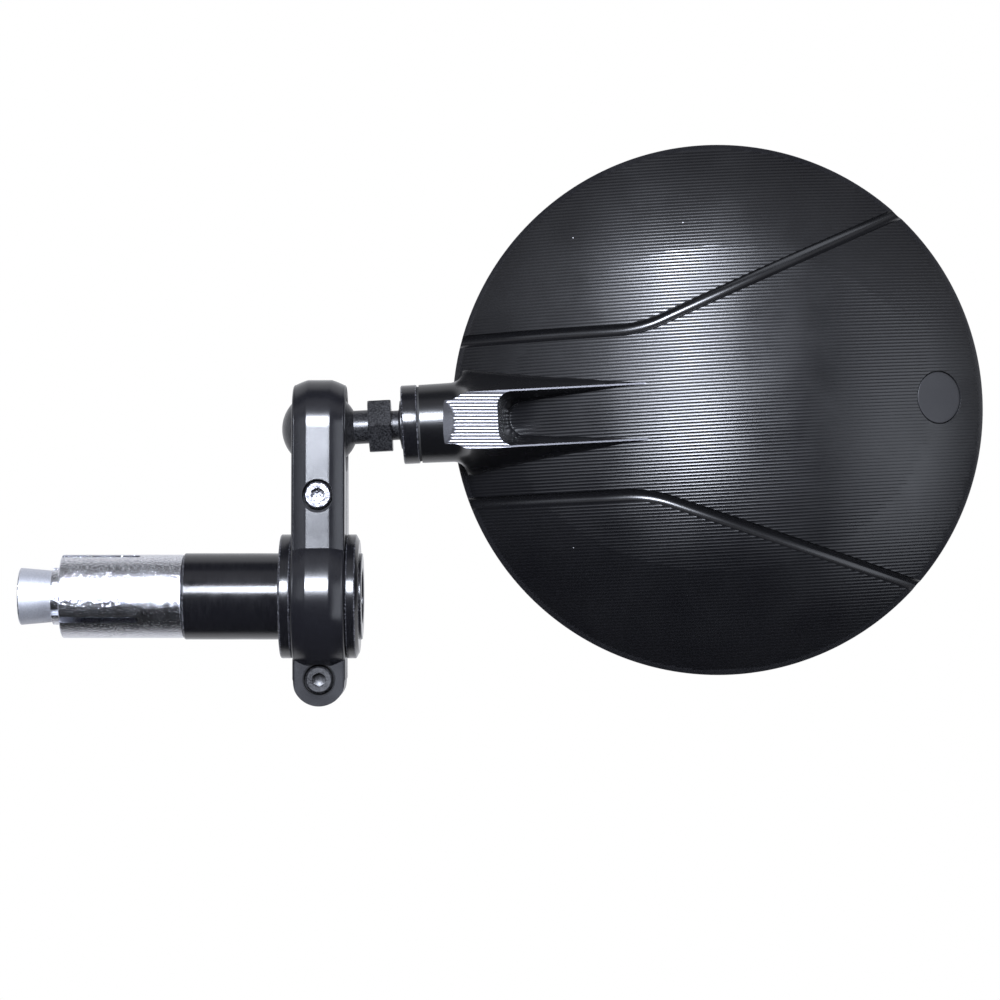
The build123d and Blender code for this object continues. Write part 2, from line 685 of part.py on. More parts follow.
with BuildPart() as mirror_head:
    middle_radius = head_radius / 2
    with BuildSketch(head_side):
        with BuildLine():
            ThreePointArc(
                (0, dome_apex),
                (middle_radius, dome_height(middle_radius)),
                (edge_radius, dome_height(edge_radius)),
            )
            Polyline(
                (edge_radius, dome_height(edge_radius)),
                (head_radius, dome_height(edge_radius) - rim_bevel),
                (head_radius, rim_back),
                (0, rim_back),
                (0, dome_apex),
            )
        make_face()
    revolve(axis=head_axis)
    # neck, flaring into the head
    with BuildSketch(stem_plan):
        with BuildLine():
            neck_face_radius = neck_diameter / 2
            neck_tail_radius = neck_face_radius + (neck_end - neck_start) * tan(radians(neck_flare))
            Polyline(
                (neck_start, 0),
                (neck_start, neck_face_radius - neck_chamfer),
                (neck_start + neck_chamfer, neck_face_radius),
                (neck_end, neck_tail_radius),
                (neck_end + neck_tail_chamfer, neck_tail_radius - neck_tail_chamfer),
                (neck_end + neck_tail_chamfer, 0),
                close=True,
            )
        make_face()
    revolve(axis=stem_axis)
    # the fork's flat runs back onto the neck
    flat_start = neck_start + fork_flat_start
    with BuildSketch(stem_side):
        with BuildLine():
            Polyline(
                (flat_start, neck_diameter),
                (flat_start, neck_face_radius),
                (flat_start + fork_scallop, fork_top),
                (neck_end + neck_diameter, fork_top),
                (neck_end + neck_diameter, neck_diameter),
                close=True,
            )
        make_face()
    extrude(amount=neck_diameter, both=True, mode=Mode.SUBTRACT)
    add(fork.part)
    # swivel bore, then the hollow behind the glass with its ledge
    with BuildSketch(stem_end.offset(neck_start)):
        Circle(collar_thread_radius + thread_clearance)
    extrude(amount=collar_thread_length, mode=Mode.SUBTRACT)
    with BuildSketch(stem_end.offset(neck_start)):
        Circle(neck_cavity_radius)
    extrude(amount=neck_cavity_end - neck_start, mode=Mode.SUBTRACT)
    inner_sphere = dome_radius - head_wall
    with BuildSketch(head_side):
        with BuildLine():
            ThreePointArc(
                (0, dome_height(0, inner_sphere)),
                (ledge_radius / 2, dome_height(ledge_radius / 2, inner_sphere)),
                (ledge_radius, dome_height(ledge_radius, inner_sphere)),
            )
            Polyline(
                (ledge_radius, dome_height(ledge_radius, inner_sphere)),
                (ledge_radius, ledge_face),
                (recess_radius, ledge_face),
                (recess_radius, rim_back),
                (0, rim_back),
                (0, dome_height(0, inner_sphere)),
            )
        make_face()
    revolve(axis=head_axis, mode=Mode.SUBTRACT)
    # seat for the badge, square to the dome
    badge_rise = badge_distance / dome_radius
    badge_normal = Vector(*stem_direction) * badge_rise + Vector(0, -1, 0) * sqrt(1 - badge_rise**2)
    badge_floor = sphere_centre + badge_normal * (dome_radius - badge_seat_depth)
    badge_plane = Plane(origin=badge_floor, x_dir=(-across_direction[0], 0, -across_direction[2]),
                        z_dir=badge_normal)
    with BuildSketch(badge_plane):
        Circle(badge_diameter / 2 + badge_gap)
    extrude(amount=2 * badge_seat_depth, mode=Mode.SUBTRACT)
    for groove_part in grooves:
        add(groove_part, mode=Mode.SUBTRACT)
save("mirror_head", mirror_head.part)

with BuildPart() as badge_disc:
    with BuildSketch(badge_plane):
        Circle(badge_diameter / 2)
    extrude(amount=badge_thickness)
save("badge_disc", badge_disc.part)


# ================================================================ glass
with BuildPart() as glass_pad:
    with BuildSketch(into_head.offset(fork_top - ledge_face)):
        Circle(glass_edge_radius)
        Circle(ledge_radius + pad_inset, mode=Mode.SUBTRACT)
    extrude(amount=pad_thickness)
save("glass_pad", glass_pad.part)

with BuildPart() as mirror_glass:
    sag = glass_radius - sqrt(glass_radius**2 - glass_edge_radius**2)
    half_radius = glass_edge_radius / 2
    half_sag = sag - (glass_radius - sqrt(glass_radius**2 - half_radius**2))
    with BuildSketch(head_side):
        with BuildLine():
            ThreePointArc(
                (0, glass_back - sag),
                (half_radius, glass_back - half_sag),
                (glass_edge_radius, glass_back),
            )
            Line((glass_edge_radius, glass_back), (glass_edge_radius, glass_back - glass_thickness))
            ThreePointArc(
                (glass_edge_radius, glass_back - glass_thickness),
                (half_radius, glass_back - glass_thickness - half_sag),
                (0, glass_back - glass_thickness - sag),
            )
            Line((0, glass_back - glass_thickness - sag), (0, glass_back - sag))
        make_face()
    revolve(axis=head_axis)
save("mirror_glass", mirror_glass.part)
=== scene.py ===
import json
from math import acos, asin, cos, pi, radians, sin, sqrt, tan

import bmesh
import bpy
from mathutils import Matrix, Vector


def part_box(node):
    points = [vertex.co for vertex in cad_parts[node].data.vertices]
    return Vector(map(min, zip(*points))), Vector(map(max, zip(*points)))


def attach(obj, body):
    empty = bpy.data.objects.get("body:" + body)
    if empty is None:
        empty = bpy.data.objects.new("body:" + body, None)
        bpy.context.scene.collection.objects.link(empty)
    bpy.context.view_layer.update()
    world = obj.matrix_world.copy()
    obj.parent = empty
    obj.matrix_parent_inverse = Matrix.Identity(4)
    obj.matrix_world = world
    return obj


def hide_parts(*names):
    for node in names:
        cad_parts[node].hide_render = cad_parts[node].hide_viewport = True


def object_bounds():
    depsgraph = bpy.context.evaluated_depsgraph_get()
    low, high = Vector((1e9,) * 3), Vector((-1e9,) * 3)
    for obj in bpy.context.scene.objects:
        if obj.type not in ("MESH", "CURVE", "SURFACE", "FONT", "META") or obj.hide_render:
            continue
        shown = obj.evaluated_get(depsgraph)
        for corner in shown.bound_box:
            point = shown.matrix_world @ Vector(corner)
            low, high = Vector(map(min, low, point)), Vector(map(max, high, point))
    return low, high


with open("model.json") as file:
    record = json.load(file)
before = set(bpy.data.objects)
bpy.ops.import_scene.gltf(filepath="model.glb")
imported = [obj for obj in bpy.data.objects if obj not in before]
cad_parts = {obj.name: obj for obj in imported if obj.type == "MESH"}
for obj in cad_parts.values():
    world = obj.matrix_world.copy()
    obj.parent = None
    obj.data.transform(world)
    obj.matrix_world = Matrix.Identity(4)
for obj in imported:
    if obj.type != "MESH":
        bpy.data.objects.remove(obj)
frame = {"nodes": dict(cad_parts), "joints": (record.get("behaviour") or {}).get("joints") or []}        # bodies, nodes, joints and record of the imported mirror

# A bar-end mirror: an expanding plug for the handlebar, a clamped arm, a ball joint, and a round
# head milled from the solid. Sizes are in metres, most of them written as millimetres times MM.
MM = 0.001
cad_low, cad_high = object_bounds()

# ---------------------------------------------------------------- places read from the frame
joints = {joint["name"]: joint for joint in frame["joints"]}
ball_centre = Vector(joints["ball_turn"]["pos_m"])
stem = Vector(joints["head_spin"]["axis"]).normalized()
OUTWARDS = Vector((1, 0, 0))
UP = Vector((0, 0, 1))
FRONT = Vector((0, -1, 0))  # the way the back of the head faces


def axes(origin, along, across):
    """Place whose Z runs along one direction, and whose X lies nearest to another."""
    z_axis = Vector(along).normalized()
    x_axis = (Vector(across) - z_axis * z_axis.dot(Vector(across))).normalized()
    turn = Matrix((x_axis, z_axis.cross(x_axis), z_axis)).transposed().to_4x4()
    return Matrix.Translation(origin) @ turn


def span(node, axis):
    """Lowest and highest value of a node along one axis."""
    low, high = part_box(node)
    return low[axis], high[axis]


glass_low, glass_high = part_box("mirror_glass")
head_centre = Vector(((glass_low.x + glass_high.x) / 2, 0, (glass_low.z + glass_high.z) / 2))
head_distance = (head_centre - ball_centre).length
stem_rise = asin(stem.z)
BAR = axes((0, 0, 0), OUTWARDS, UP)
STEM = axes(ball_centre, stem, FRONT)
HEAD = axes(head_centre, FRONT, stem)  # X along the stem, Y across it, Z towards the front

# ---------------------------------------------------------------- head sizes
HEAD_RADIUS = 53 * MM
DOME_RADIUS = 91 * MM
DOME_APEX = 8 * MM
HEAD_WALL = 2.5 * MM
RIM_BACK = -span("mirror_head", 1)[1]
RIM_CHAMFER = 1.0 * MM
RIM_CHAMFER_SLOPE = radians(42)
RIM_ROUND = 0.3 * MM
LEDGE_DEPTH = 3.3 * MM
LEDGE_WIDTH = 3.5 * MM
RIDGE_PITCH = 0.64 * MM
RIDGE_DEPTH = 0.06 * MM
RIDGE_SAMPLES = 4
RIDGE_COUNT = 168
FORK_TOP = 6.6 * MM
FORK_HALF_WIDTH = 5.6 * MM
FORK_DRAFT = radians(18)
FORK_BLEND = 2.6 * MM
FORK_TRIM = 0.3 * MM  # stock above the flat, before the flat is milled
FORK_TIP = -11.5 * MM
SWELL_START = 26.0 * MM - head_distance  # the round neck swells into the fork between these
SWELL_END = 29.6 * MM - head_distance
POCKET_HALF_WIDTH = 5.3 * MM
POCKET_CORNER = 2.9 * MM
POCKET_DRAFT = radians(13)
POCKET_START = 35 * MM - head_distance
POCKET_BLEND = 2.4 * MM
FLAT_START = 23.4 * MM - head_distance
FLAT_RAMP = 2.9 * MM  # the ramp down to the flat ends this far from the cutter's start
FLAT_LENGTH = 46 * MM
FLAT_RIDGES = 26
FLAT_RIDGED = 9  # ridges on each side of the middle that are really cut
SINK = 0.14 * MM  # blends end this far under the crests, so that the ridges run out into them
NECK_RADIUS = 7.7 * MM
NECK_FACE = 19.8 * MM - head_distance
NECK_FLARE = radians(1)
SWIVEL_CAVITY = 32 * MM - head_distance
SWIVEL_CAVITY_RADIUS = 5.2 * MM
COLLAR_THREAD_RADIUS = 5.55 * MM
COLLAR_THREAD_LENGTH = 3.8 * MM
GROOVE_OFFSET = 16.3 * MM
GROOVE_BEND = -15.3 * MM
GROOVE_ANGLE = radians(21.6)
GROOVE_BEND_RADIUS = 24 * MM
GROOVE_CUTTER = 1.4 * MM
GROOVE_DEPTH = 0.77 * MM
BADGE_DISTANCE = 43.6 * MM
BADGE_RADIUS = 5.1 * MM
BADGE_GAP = 0.2 * MM
BADGE_SEAT = 1.0 * MM
BADGE_FLARE = 1.2 * MM
BADGE_RECESS = 0.15 * MM
BADGE_DOME = 0.12 * MM
GLASS_THICKNESS = 2 * MM


def dome_height(x, y, sphere=DOME_RADIUS):
    """Height of the dome, or of a sphere about the same centre, over the stem axis."""
    return DOME_APEX - DOME_RADIUS + sqrt(sphere**2 - x * x - y * y)


def blended(first, second, width):
    """The higher of two heights, with a soft change from one to the other."""
    overlap = max(width - abs(first - second), 0)
    return max(first, second) + (overlap * overlap / (4 * width) if width > 0 else 0)


def evenly(start, end, steps):
    """Numbers from start to end in even steps."""
    return [start + (end - start) * step / steps for step in range(steps + 1)]


def circle(sides):
    """Cosine and sine of turns that are evenly spaced."""
    return [(cos(2 * pi * i / sides), sin(2 * pi * i / sides)) for i in range(sides)]


def eased(start, end, value):
    """0 before start, 1 after end, and a smooth rise between them."""
    share = min(max((value - start) / (end - start), 0), 1)
    return share * share * (3 - 2 * share)


# ================================================================ finishes
class Figure:
    """A number in a node tree, so that its sums can be written as plain sums."""

    def __init__(self, tree, source):
        self.tree = tree
        self.source = source

    def worked(self, operation, *others):
        """What one Math node makes of this figure and the others."""
        node = self.tree.nodes.new("ShaderNodeMath")
        node.operation = operation
        for figure, socket in zip((self, *others), node.inputs):
            fill(self.tree, socket, figure)
        return Figure(self.tree, node.outputs[0])

    def __add__(self, other):
        return self.worked("ADD", other)

    def __sub__(self, other):
        return self.worked("SUBTRACT", other)

    def __rsub__(self, other):
        return Figure(self.tree, other) - self

    def __mul__(self, other):
        return self.worked("MULTIPLY", other)

    def __truediv__(self, other):
        return self.worked("DIVIDE", other)


def fill(tree, socket, value):
    """Link a figure or another node's output to a socket, or set the socket's own value."""
    if isinstance(value, Figure):
        value = value.source
    if isinstance(value, bpy.types.NodeSocket):
        tree.links.new(value, socket)
    else:
        socket.default_value = value


def new_node(tree, kind, values):
    """New node with the inputs filled that are given by label or number."""
    node = tree.nodes.new(kind)
    for label, value in values.items():
        fill(tree, node.inputs[label], value)
    return node


def own_space(tree):
    """The piece's own coordinates."""
    return tree.nodes.new("ShaderNodeTexCoord").outputs["Object"]


def noise(tree, scale, detail, stretch=(1, 1, 1)):
    """Noise over the piece's own space, stretched where the tool marks run one way."""
    mapping = new_node(tree, "ShaderNodeMapping", {"Vector": own_space(tree), "Scale": stretch})
    texture = new_node(tree, "ShaderNodeTexNoise",
                       {"Vector": mapping.outputs[0], "Scale": scale, "Detail": detail})
    return Figure(tree, texture.outputs["Fac"])


def cells(tree, spacing):
    """Scattered cells over the piece's own space."""
    return new_node(tree, "ShaderNodeTexVoronoi", {"Vector": own_space(tree), "Scale": 1 / spacing})


def ranged(tree, *numbers):
    """Map a value from one range to another, held at the ends."""
    node = new_node(tree, "ShaderNodeMapRange", dict(enumerate(numbers)))
    return Figure(tree, node.outputs[0])


def mixed(tree, share, first, second):
    """Mix two colours by a share."""
    node = tree.nodes.new("ShaderNodeMix")
    node.data_type = "RGBA"
    fill(tree, node.inputs["Factor"], share)
    for label, colour in (("A", first), ("B", second)):
        fill(tree, node.inputs[label], (*colour, 1) if isinstance(colour, tuple) else colour)
    return node.outputs["Result"]


DUST_SPACING = 2.4 * MM
DUST_COLOUR = (0.6, 0.6, 0.62)


def finish(name, colour, fleck, roughness, metallic=0.0, grain=0.2, height=0.004, stretch=(1, 1, 1),
           patches=12, dust=0.0, pits=0.0, cover=0.5):
    """A surface finish: patchy colour and roughness, grain, and if asked pits or settled dust.

    roughness is its lowest and highest value, and grain, height, patches and pits are millimetres.
    """
    material = bpy.data.materials.new(name)
    material.use_nodes = True
    tree = material.node_tree
    shader = tree.nodes["Principled BSDF"]
    shader.inputs["Metallic"].default_value = metallic
    fine = noise(tree, 1 / (grain * MM), 4, stretch)
    shade = mixed(tree, ranged(tree, fine, cover - 0.12, cover + 0.12, 0, 1), colour, fleck)
    worn = ranged(tree, noise(tree, 1 / (patches * MM), 3), 0.3, 0.7, *roughness)
    if dust:
        grains = cells(tree, DUST_SPACING)
        split = new_node(tree, "ShaderNodeSeparateColor", {0: grains.outputs["Color"]})
        chosen = Figure(tree, split.outputs[0]).worked("GREATER_THAN", 1 - dust)
        speck = chosen * ranged(tree, grains.outputs["Distance"], 0.05, 0.035, 0, 1)
        shade = mixed(tree, speck, shade, DUST_COLOUR)
        worn = worn.worked("MAXIMUM", speck)
    relief = fine
    if pits:
        dents = cells(tree, pits * MM).outputs["Distance"]
        relief = fine + ranged(tree, dents, 0.0, 0.55, 0, 0.7)
    bump = new_node(tree, "ShaderNodeBump",
                    {"Strength": 1.0, "Distance": height * MM, "Height": relief})
    fill(tree, shader.inputs["Base Color"], shade)
    fill(tree, shader.inputs["Roughness"], worn)
    fill(tree, shader.inputs["Normal"], bump.outputs["Normal"])
    return material


TURNED_ALONG_BAR = (6, 0.15, 0.15)
TURNED_ALONG_STEM = (6, 0.4, 0.4)

milled_black = finish("milled_black", (0.0012, 0.0012, 0.0015), (0.003, 0.003, 0.004), (0.27, 0.36),
                      grain=0.16, height=0.003, dust=0.02)
smooth_black = finish("smooth_black", (0.002, 0.002, 0.002), (0.004, 0.004, 0.005), (0.22, 0.3),
                      grain=0.12, height=0.001)
flat_black = finish("flat_black", (0.06, 0.06, 0.065), (0.09, 0.09, 0.1), (0.26, 0.34), metallic=0.7,
                    grain=0.15, height=0.002)
rim_black = finish("rim_black", (0.004, 0.004, 0.005), (0.008, 0.008, 0.009), (0.2, 0.3),
                   grain=0.2, height=0.0008)
inner_black = finish("inner_black", (0.01, 0.01, 0.011), (0.015, 0.015, 0.017), (0.5, 0.62),
                     grain=0.3, height=0.004)
badge_black = finish("badge_black", (0.006, 0.006, 0.007), (0.009, 0.009, 0.011), (0.4, 0.5),
                     grain=0.1, height=0.001, patches=5)
gloss_black = finish("gloss_black", (0.002, 0.002, 0.003), (0.006, 0.006, 0.007), (0.14, 0.24),
                     grain=0.35, height=0.006, stretch=TURNED_ALONG_BAR, patches=6)
collar_black = finish("collar_black", (0.002, 0.002, 0.003), (0.006, 0.006, 0.007), (0.13, 0.22),
                      grain=0.3, height=0.004, stretch=TURNED_ALONG_STEM, patches=5)
worn_black = finish("worn_black", (0.012, 0.012, 0.014), (0.16, 0.16, 0.18), (0.2, 0.32), metallic=0.3,
                    grain=0.25, height=0.004, cover=0.6)
arm_black = finish("arm_black", (0.003, 0.003, 0.004), (0.008, 0.008, 0.01), (0.19, 0.28),
                   grain=0.18, height=0.006, patches=9, dust=0.012)
oxide_black = finish("oxide_black", (0.004, 0.004, 0.005), (0.03, 0.03, 0.032), (0.24, 0.4),
                     metallic=0.3, grain=0.35, height=0.02, patches=4)
steel = finish("bright_steel", (0.3, 0.3, 0.33), (0.08, 0.08, 0.09), (0.28, 0.5), metallic=1.0,
               grain=0.45, height=0.12, patches=1.2)
zinc = finish("zinc", (0.78, 0.79, 0.83), (0.6, 0.61, 0.66), (0.14, 0.28), metallic=1.0,
              grain=0.25, height=0.08, patches=4, pits=0.45)
cast_grey = finish("cast_grey", (0.52, 0.53, 0.57), (0.44, 0.45, 0.49), (0.45, 0.58), metallic=0.85,
                   grain=0.25, height=0.006, patches=6)
nylon = finish("nylon", (0.02, 0.02, 0.022), (0.03, 0.03, 0.032), (0.45, 0.6), grain=0.3, height=0.004)
rubber = finish("rubber", (0.008, 0.008, 0.008), (0.014, 0.014, 0.014), (0.6, 0.75), grain=0.2,
                height=0.006)
foam = finish("foam", (0.02, 0.02, 0.02), (0.05, 0.05, 0.05), (0.85, 0.95), grain=0.5, height=0.08,
              pits=0.6)
silvering = finish("mirror_silvering", (0.9, 0.91, 0.92), (0.86, 0.87, 0.89), (0.012, 0.03),
                   metallic=1.0, grain=0.5, height=0.0, dust=0.008)
glass_edge = finish("ground_glass_edge", (0.25, 0.3, 0.29), (0.35, 0.4, 0.39), (0.3, 0.4), grain=0.2,
                    height=0.01)


# ================================================================ workshop: solids and cuts
def in_scene(name, data):
    """New object in the scene."""
    thing = bpy.data.objects.new(name, data)
    bpy.context.scene.collection.objects.link(thing)
    return thing


def block_from(mesh_maker, name, *finishes):
    """New object holding the mesh that a maker filled."""
    mesh = bpy.data.meshes.new(name)
    bmesh.ops.remove_doubles(mesh_maker, verts=mesh_maker.verts, dist=1e-7)
    bmesh.ops.dissolve_degenerate(mesh_maker, edges=mesh_maker.edges, dist=1e-8)
    bmesh.ops.recalc_face_normals(mesh_maker, faces=mesh_maker.faces)
    bmesh.ops.triangulate(mesh_maker, faces=[f for f in mesh_maker.faces if len(f.verts) > 4])
    mesh_maker.to_mesh(mesh)
    mesh_maker.free()
    for material in finishes:
        mesh.materials.append(material)
    return in_scene(name, mesh)


def rounded(corners, steps):
    """Corners of a closed profile, each third number the radius that its corner is rounded to.

    Gives the points, and for each whether the stretch that follows it is part of a rounding.
    """
    points, on_edge = [], []
    for index, corner in enumerate(corners):
        here = Vector(corner[:2])
        if len(corner) < 3:
            points.append(here)
            on_edge.append(False)
            continue
        before = (Vector(corners[index - 1][:2]) - here).normalized()
        after = (Vector(corners[(index + 1) % len(corners)][:2]) - here).normalized()
        half_angle = before.angle(after) / 2
        centre = here + (before + after).normalized() * corner[2] / sin(half_angle)
        start = here + before * corner[2] / tan(half_angle) - centre
        end = here + after * corner[2] / tan(half_angle) - centre
        for step in range(steps + 1):
            share = step / steps
            points.append(centre + (start * (1 - share) + end * share).normalized() * corner[2])
            on_edge.append(step < steps)
    return points, on_edge


def turned(name, corners, *finishes, segments=128, steps=4):
    """Solid of revolution about Z from a profile of (along, radius, rounding) corners."""
    points, on_edge = rounded(corners, steps)
    maker = bmesh.new()
    rings = []
    for along, radius in points:
        if radius < 1e-7:
            rings.append([maker.verts.new((0, 0, along))] * segments)
        else:
            rings.append([maker.verts.new((radius * across, radius * up, along))
                          for across, up in circle(segments)])
    for index, ring in enumerate(rings):
        following = rings[(index + 1) % len(rings)]
        for i in range(segments):
            corners_here = []
            for vertex in (ring[i], ring[(i + 1) % segments], following[(i + 1) % segments],
                           following[i]):
                if vertex not in corners_here:
                    corners_here.append(vertex)
            if len(corners_here) > 2:
                face = maker.faces.new(corners_here)
                face.material_index = 1 if on_edge[index] and len(finishes) > 1 else 0
    return block_from(maker, name, *finishes)


def lofted(name, sections, *finishes):
    """Closed solid through sections that have as many points each, with flat ends."""
    maker = bmesh.new()
    rings = [[maker.verts.new(point) for point in section] for section in sections]
    count = len(rings[0])
    for ring, following in zip(rings, rings[1:]):
        for i in range(count):
            nearby = (i + 1) % count
            maker.faces.new((ring[i], ring[nearby], following[nearby], following[i]))
    maker.faces.new(rings[0])
    maker.faces.new(list(reversed(rings[-1])))
    return block_from(maker, name, *finishes)


def whole(x, half):
    """Full section at x from its right half, which starts and ends on the middle."""
    return [Vector((x, y, z)) for y, z in half + [(-y, z) for y, z in reversed(half[1:-1])]]


def tube(name, path, radius, material, sides=28):
    """Round bar along a path of points, with flat ends."""
    sections = []
    for index, point in enumerate(path):
        ahead = path[min(index + 1, len(path) - 1)]
        behind = path[max(index - 1, 0)]
        tangent = (ahead - behind).normalized()
        lift = (Vector((0, 0, 1)) - tangent * tangent.z).normalized()
        side = tangent.cross(lift)
        sections.append([point + (side * across + lift * up) * radius
                         for across, up in circle(sides)])
    return lofted(name, sections, material)


def settle(solid):
    """Turn an object's modifiers into its plain mesh."""
    graph = bpy.context.evaluated_depsgraph_get()
    mesh = bpy.data.meshes.new_from_object(solid.evaluated_get(graph))
    before = solid.data
    solid.modifiers.clear()
    solid.data = mesh
    bpy.data.meshes.remove(before)


def carve(solid, *tools, operation="DIFFERENCE"):
    """Cut tools away from a solid, or join them to it, and use the tools up."""
    for tool in tools:
        modifier = solid.modifiers.new("carve", "BOOLEAN")
        modifier.operation = operation
        modifier.solver = "MANIFOLD"
        modifier.material_mode = "TRANSFER"
        modifier.object = tool
        settle(solid)
        bpy.data.objects.remove(tool)
    return solid


def moved(solid, place):
    """Put the solid's mesh in place, and leave its object at the origin."""
    solid.data.transform(place)
    return solid


def deliver(solid, body, nodes, place=None, sharp=30):
    """Finish a piece: set it in place, shade it, and hand it to its body."""
    if place is not None:
        moved(solid, place)
    solid.data.shade_smooth()
    solid.data.set_sharp_from_angle(angle=radians(sharp))
    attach(solid, body)
    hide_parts(*nodes)


# ================================================================ rules that repeat
WELL_ABOVE_ZERO = 1000.0  # keeps the phase of a repeating pattern positive


def new_tree(name, counts, sizes):
    """Geometry Nodes tree with inputs named for its counts and sizes, and a Finish input."""
    tree = bpy.data.node_groups.new(name, "GeometryNodeTree")
    tree.interface.new_socket("Geometry", in_out="OUTPUT", socket_type="NodeSocketGeometry")
    kinds = dict.fromkeys(counts, "NodeSocketInt") | dict.fromkeys(sizes, "NodeSocketFloat")
    kinds["Finish"] = "NodeSocketMaterial"
    for label, kind in kinds.items():
        tree.interface.new_socket(label, in_out="INPUT", socket_type=kind)
    given = tree.nodes.new("NodeGroupInput")
    return tree, {label: Figure(tree, given.outputs[label]) for label in kinds}


def points_of(tree):
    """The three coordinates of a point."""
    place = new_node(tree, "ShaderNodeSeparateXYZ",
                     {0: tree.nodes.new("GeometryNodeInputPosition").outputs[0]})
    return [Figure(tree, coordinate) for coordinate in place.outputs]


def close_tree(tree, given, solid, *position):
    """Move a solid's points, and end the tree in Realize Instances and Set Material."""
    where = new_node(tree, "ShaderNodeCombineXYZ", dict(enumerate(position)))
    shape = new_node(tree, "GeometryNodeSetPosition",
                     {"Geometry": solid.outputs["Mesh"], "Position": where.outputs[0]})
    realise = new_node(tree, "GeometryNodeRealizeInstances", {0: shape.outputs[0]})
    dress = new_node(tree, "GeometryNodeSetMaterial",
                     {"Geometry": realise.outputs[0], "Material": given["Finish"]})
    new_node(tree, "NodeGroupOutput", {0: dress.outputs[0]})
    return tree


def grown(name, tree, **sizes):
    """Plain mesh object that a tree makes from the sizes given."""
    solid = in_scene(name, bpy.data.meshes.new(name))
    modifier = solid.modifiers.new("grow", "NODES")
    modifier.node_group = tree
    for item in tree.interface.items_tree:
        if item.in_out == "INPUT":
            modifier[item.identifier] = sizes[item.name.replace(" ", "_").lower()]
    settle(solid)
    return solid


def ridged_block_tree():
    """Block whose top follows a sphere and carries the scallops that a ball cutter leaves."""
    tree, given = new_tree("ridged_block", ("Steps Along", "Steps Across"), (
        "Length", "Width", "Base", "Apex", "Sphere", "Pitch", "Depth", "Smooth Beyond",
        "Ridges End", "Ramp End", "Ramp Slope", "Ramp Bulge"))
    size = new_node(tree, "ShaderNodeCombineXYZ", {0: given["Length"], 1: given["Width"], 2: 1.0})
    cube = new_node(tree, "GeometryNodeMeshCube",
                    {"Size": size.outputs[0], "Vertices X": given["Steps Along"],
                     "Vertices Y": given["Steps Across"]})
    x, y, z = points_of(tree)
    outside = given["Sphere"] * given["Sphere"] - (x * x + y * y)
    sphere = outside.worked("SQRT") - given["Sphere"]
    swing = (y / given["Pitch"] + WELL_ABOVE_ZERO).worked("FRACT") * 2.0 - 1.0
    scallop = 1.0 - swing * swing
    ridged = y.worked("ABSOLUTE").worked("LESS_THAN", given["Smooth Beyond"])
    ridged = ridged * x.worked("LESS_THAN", given["Ridges End"])
    level = given["Apex"] + sphere - scallop * ridged * given["Depth"]
    ramp_end = given["Ramp End"] - given["Ramp Bulge"] * (y * y) - x
    top = level.worked("MAXIMUM", given["Apex"] + ramp_end * given["Ramp Slope"])
    is_top = z.worked("GREATER_THAN", 0.0)
    return close_tree(tree, given, cube, x, y, is_top * top + (1.0 - is_top) * given["Base"])


def patterned_rod_tree():
    """Rod about Z with a thread or a knurl, and its ends turned off at 45 degrees."""
    tree, given = new_tree("patterned_rod", ("Sides", "Rings"), (
        "Length", "Radius", "Depth", "Turns Per Metre", "Starts", "Top Edge", "Bottom Edge"))
    rod = new_node(tree, "GeometryNodeMeshCylinder",
                   {"Vertices": given["Sides"], "Side Segments": given["Rings"],
                    "Radius": given["Radius"], "Depth": given["Length"]})
    x, y, z = points_of(tree)
    radius = (x * x + y * y).worked("SQRT")
    turn = y.worked("ARCTAN2", x) / (2 * pi)
    phase = z * given["Turns Per Metre"] - turn * given["Starts"]
    swing = ((phase + WELL_ABOVE_ZERO).worked("FRACT") * 2.0 - 1.0).worked("ABSOLUTE")
    pattern = given["Radius"] - swing * given["Depth"]
    half = given["Length"] * 0.5
    top = given["Radius"] - given["Top Edge"] + (half - z)
    bottom = given["Radius"] - given["Bottom Edge"] + (half + z)
    reach = pattern.worked("MINIMUM", top.worked("MINIMUM", bottom))
    scale = reach / radius.worked("MAXIMUM", 1e-6)
    return close_tree(tree, given, rod, x * scale, y * scale, z)


RIDGES = ridged_block_tree()
ROD = patterned_rod_tree()


def rod_between(name, start, end, **sizes):
    """Patterned rod along Z from start to end."""
    rod = grown(name, ROD, length=end - start, **sizes)
    return moved(rod, Matrix.Translation((0, 0, (start + end) / 2)))


def threaded(name, start, end, radius, pitch, material, tip=0.0):
    """Threaded rod along Z from start to end."""
    return rod_between(name, start, end, radius=radius, depth=0.54 * pitch,
                       turns_per_metre=1 / pitch, starts=1.0, top_edge=0.0, bottom_edge=tip,
                       sides=40, rings=int((end - start) / pitch * 7), finish=material)


def knurled(name, start, end, radius, teeth, material, edge):
    """Straight-knurled screw head along Z from start to end."""
    return rod_between(name, start, end, radius=radius, depth=0.035 * radius,
                       turns_per_metre=0.0, starts=float(teeth), top_edge=edge,
                       bottom_edge=edge * 0.4, sides=teeth * 4, rings=16, finish=material)


def hexagon(name, start, end, width, material):
    """Hexagonal bar along Z, with a corner towards X."""
    corner = width / sqrt(3)
    return lofted(name, [[Vector((corner * across, corner * up, z)) for across, up in circle(6)]
                         for z in (start, end)], material)


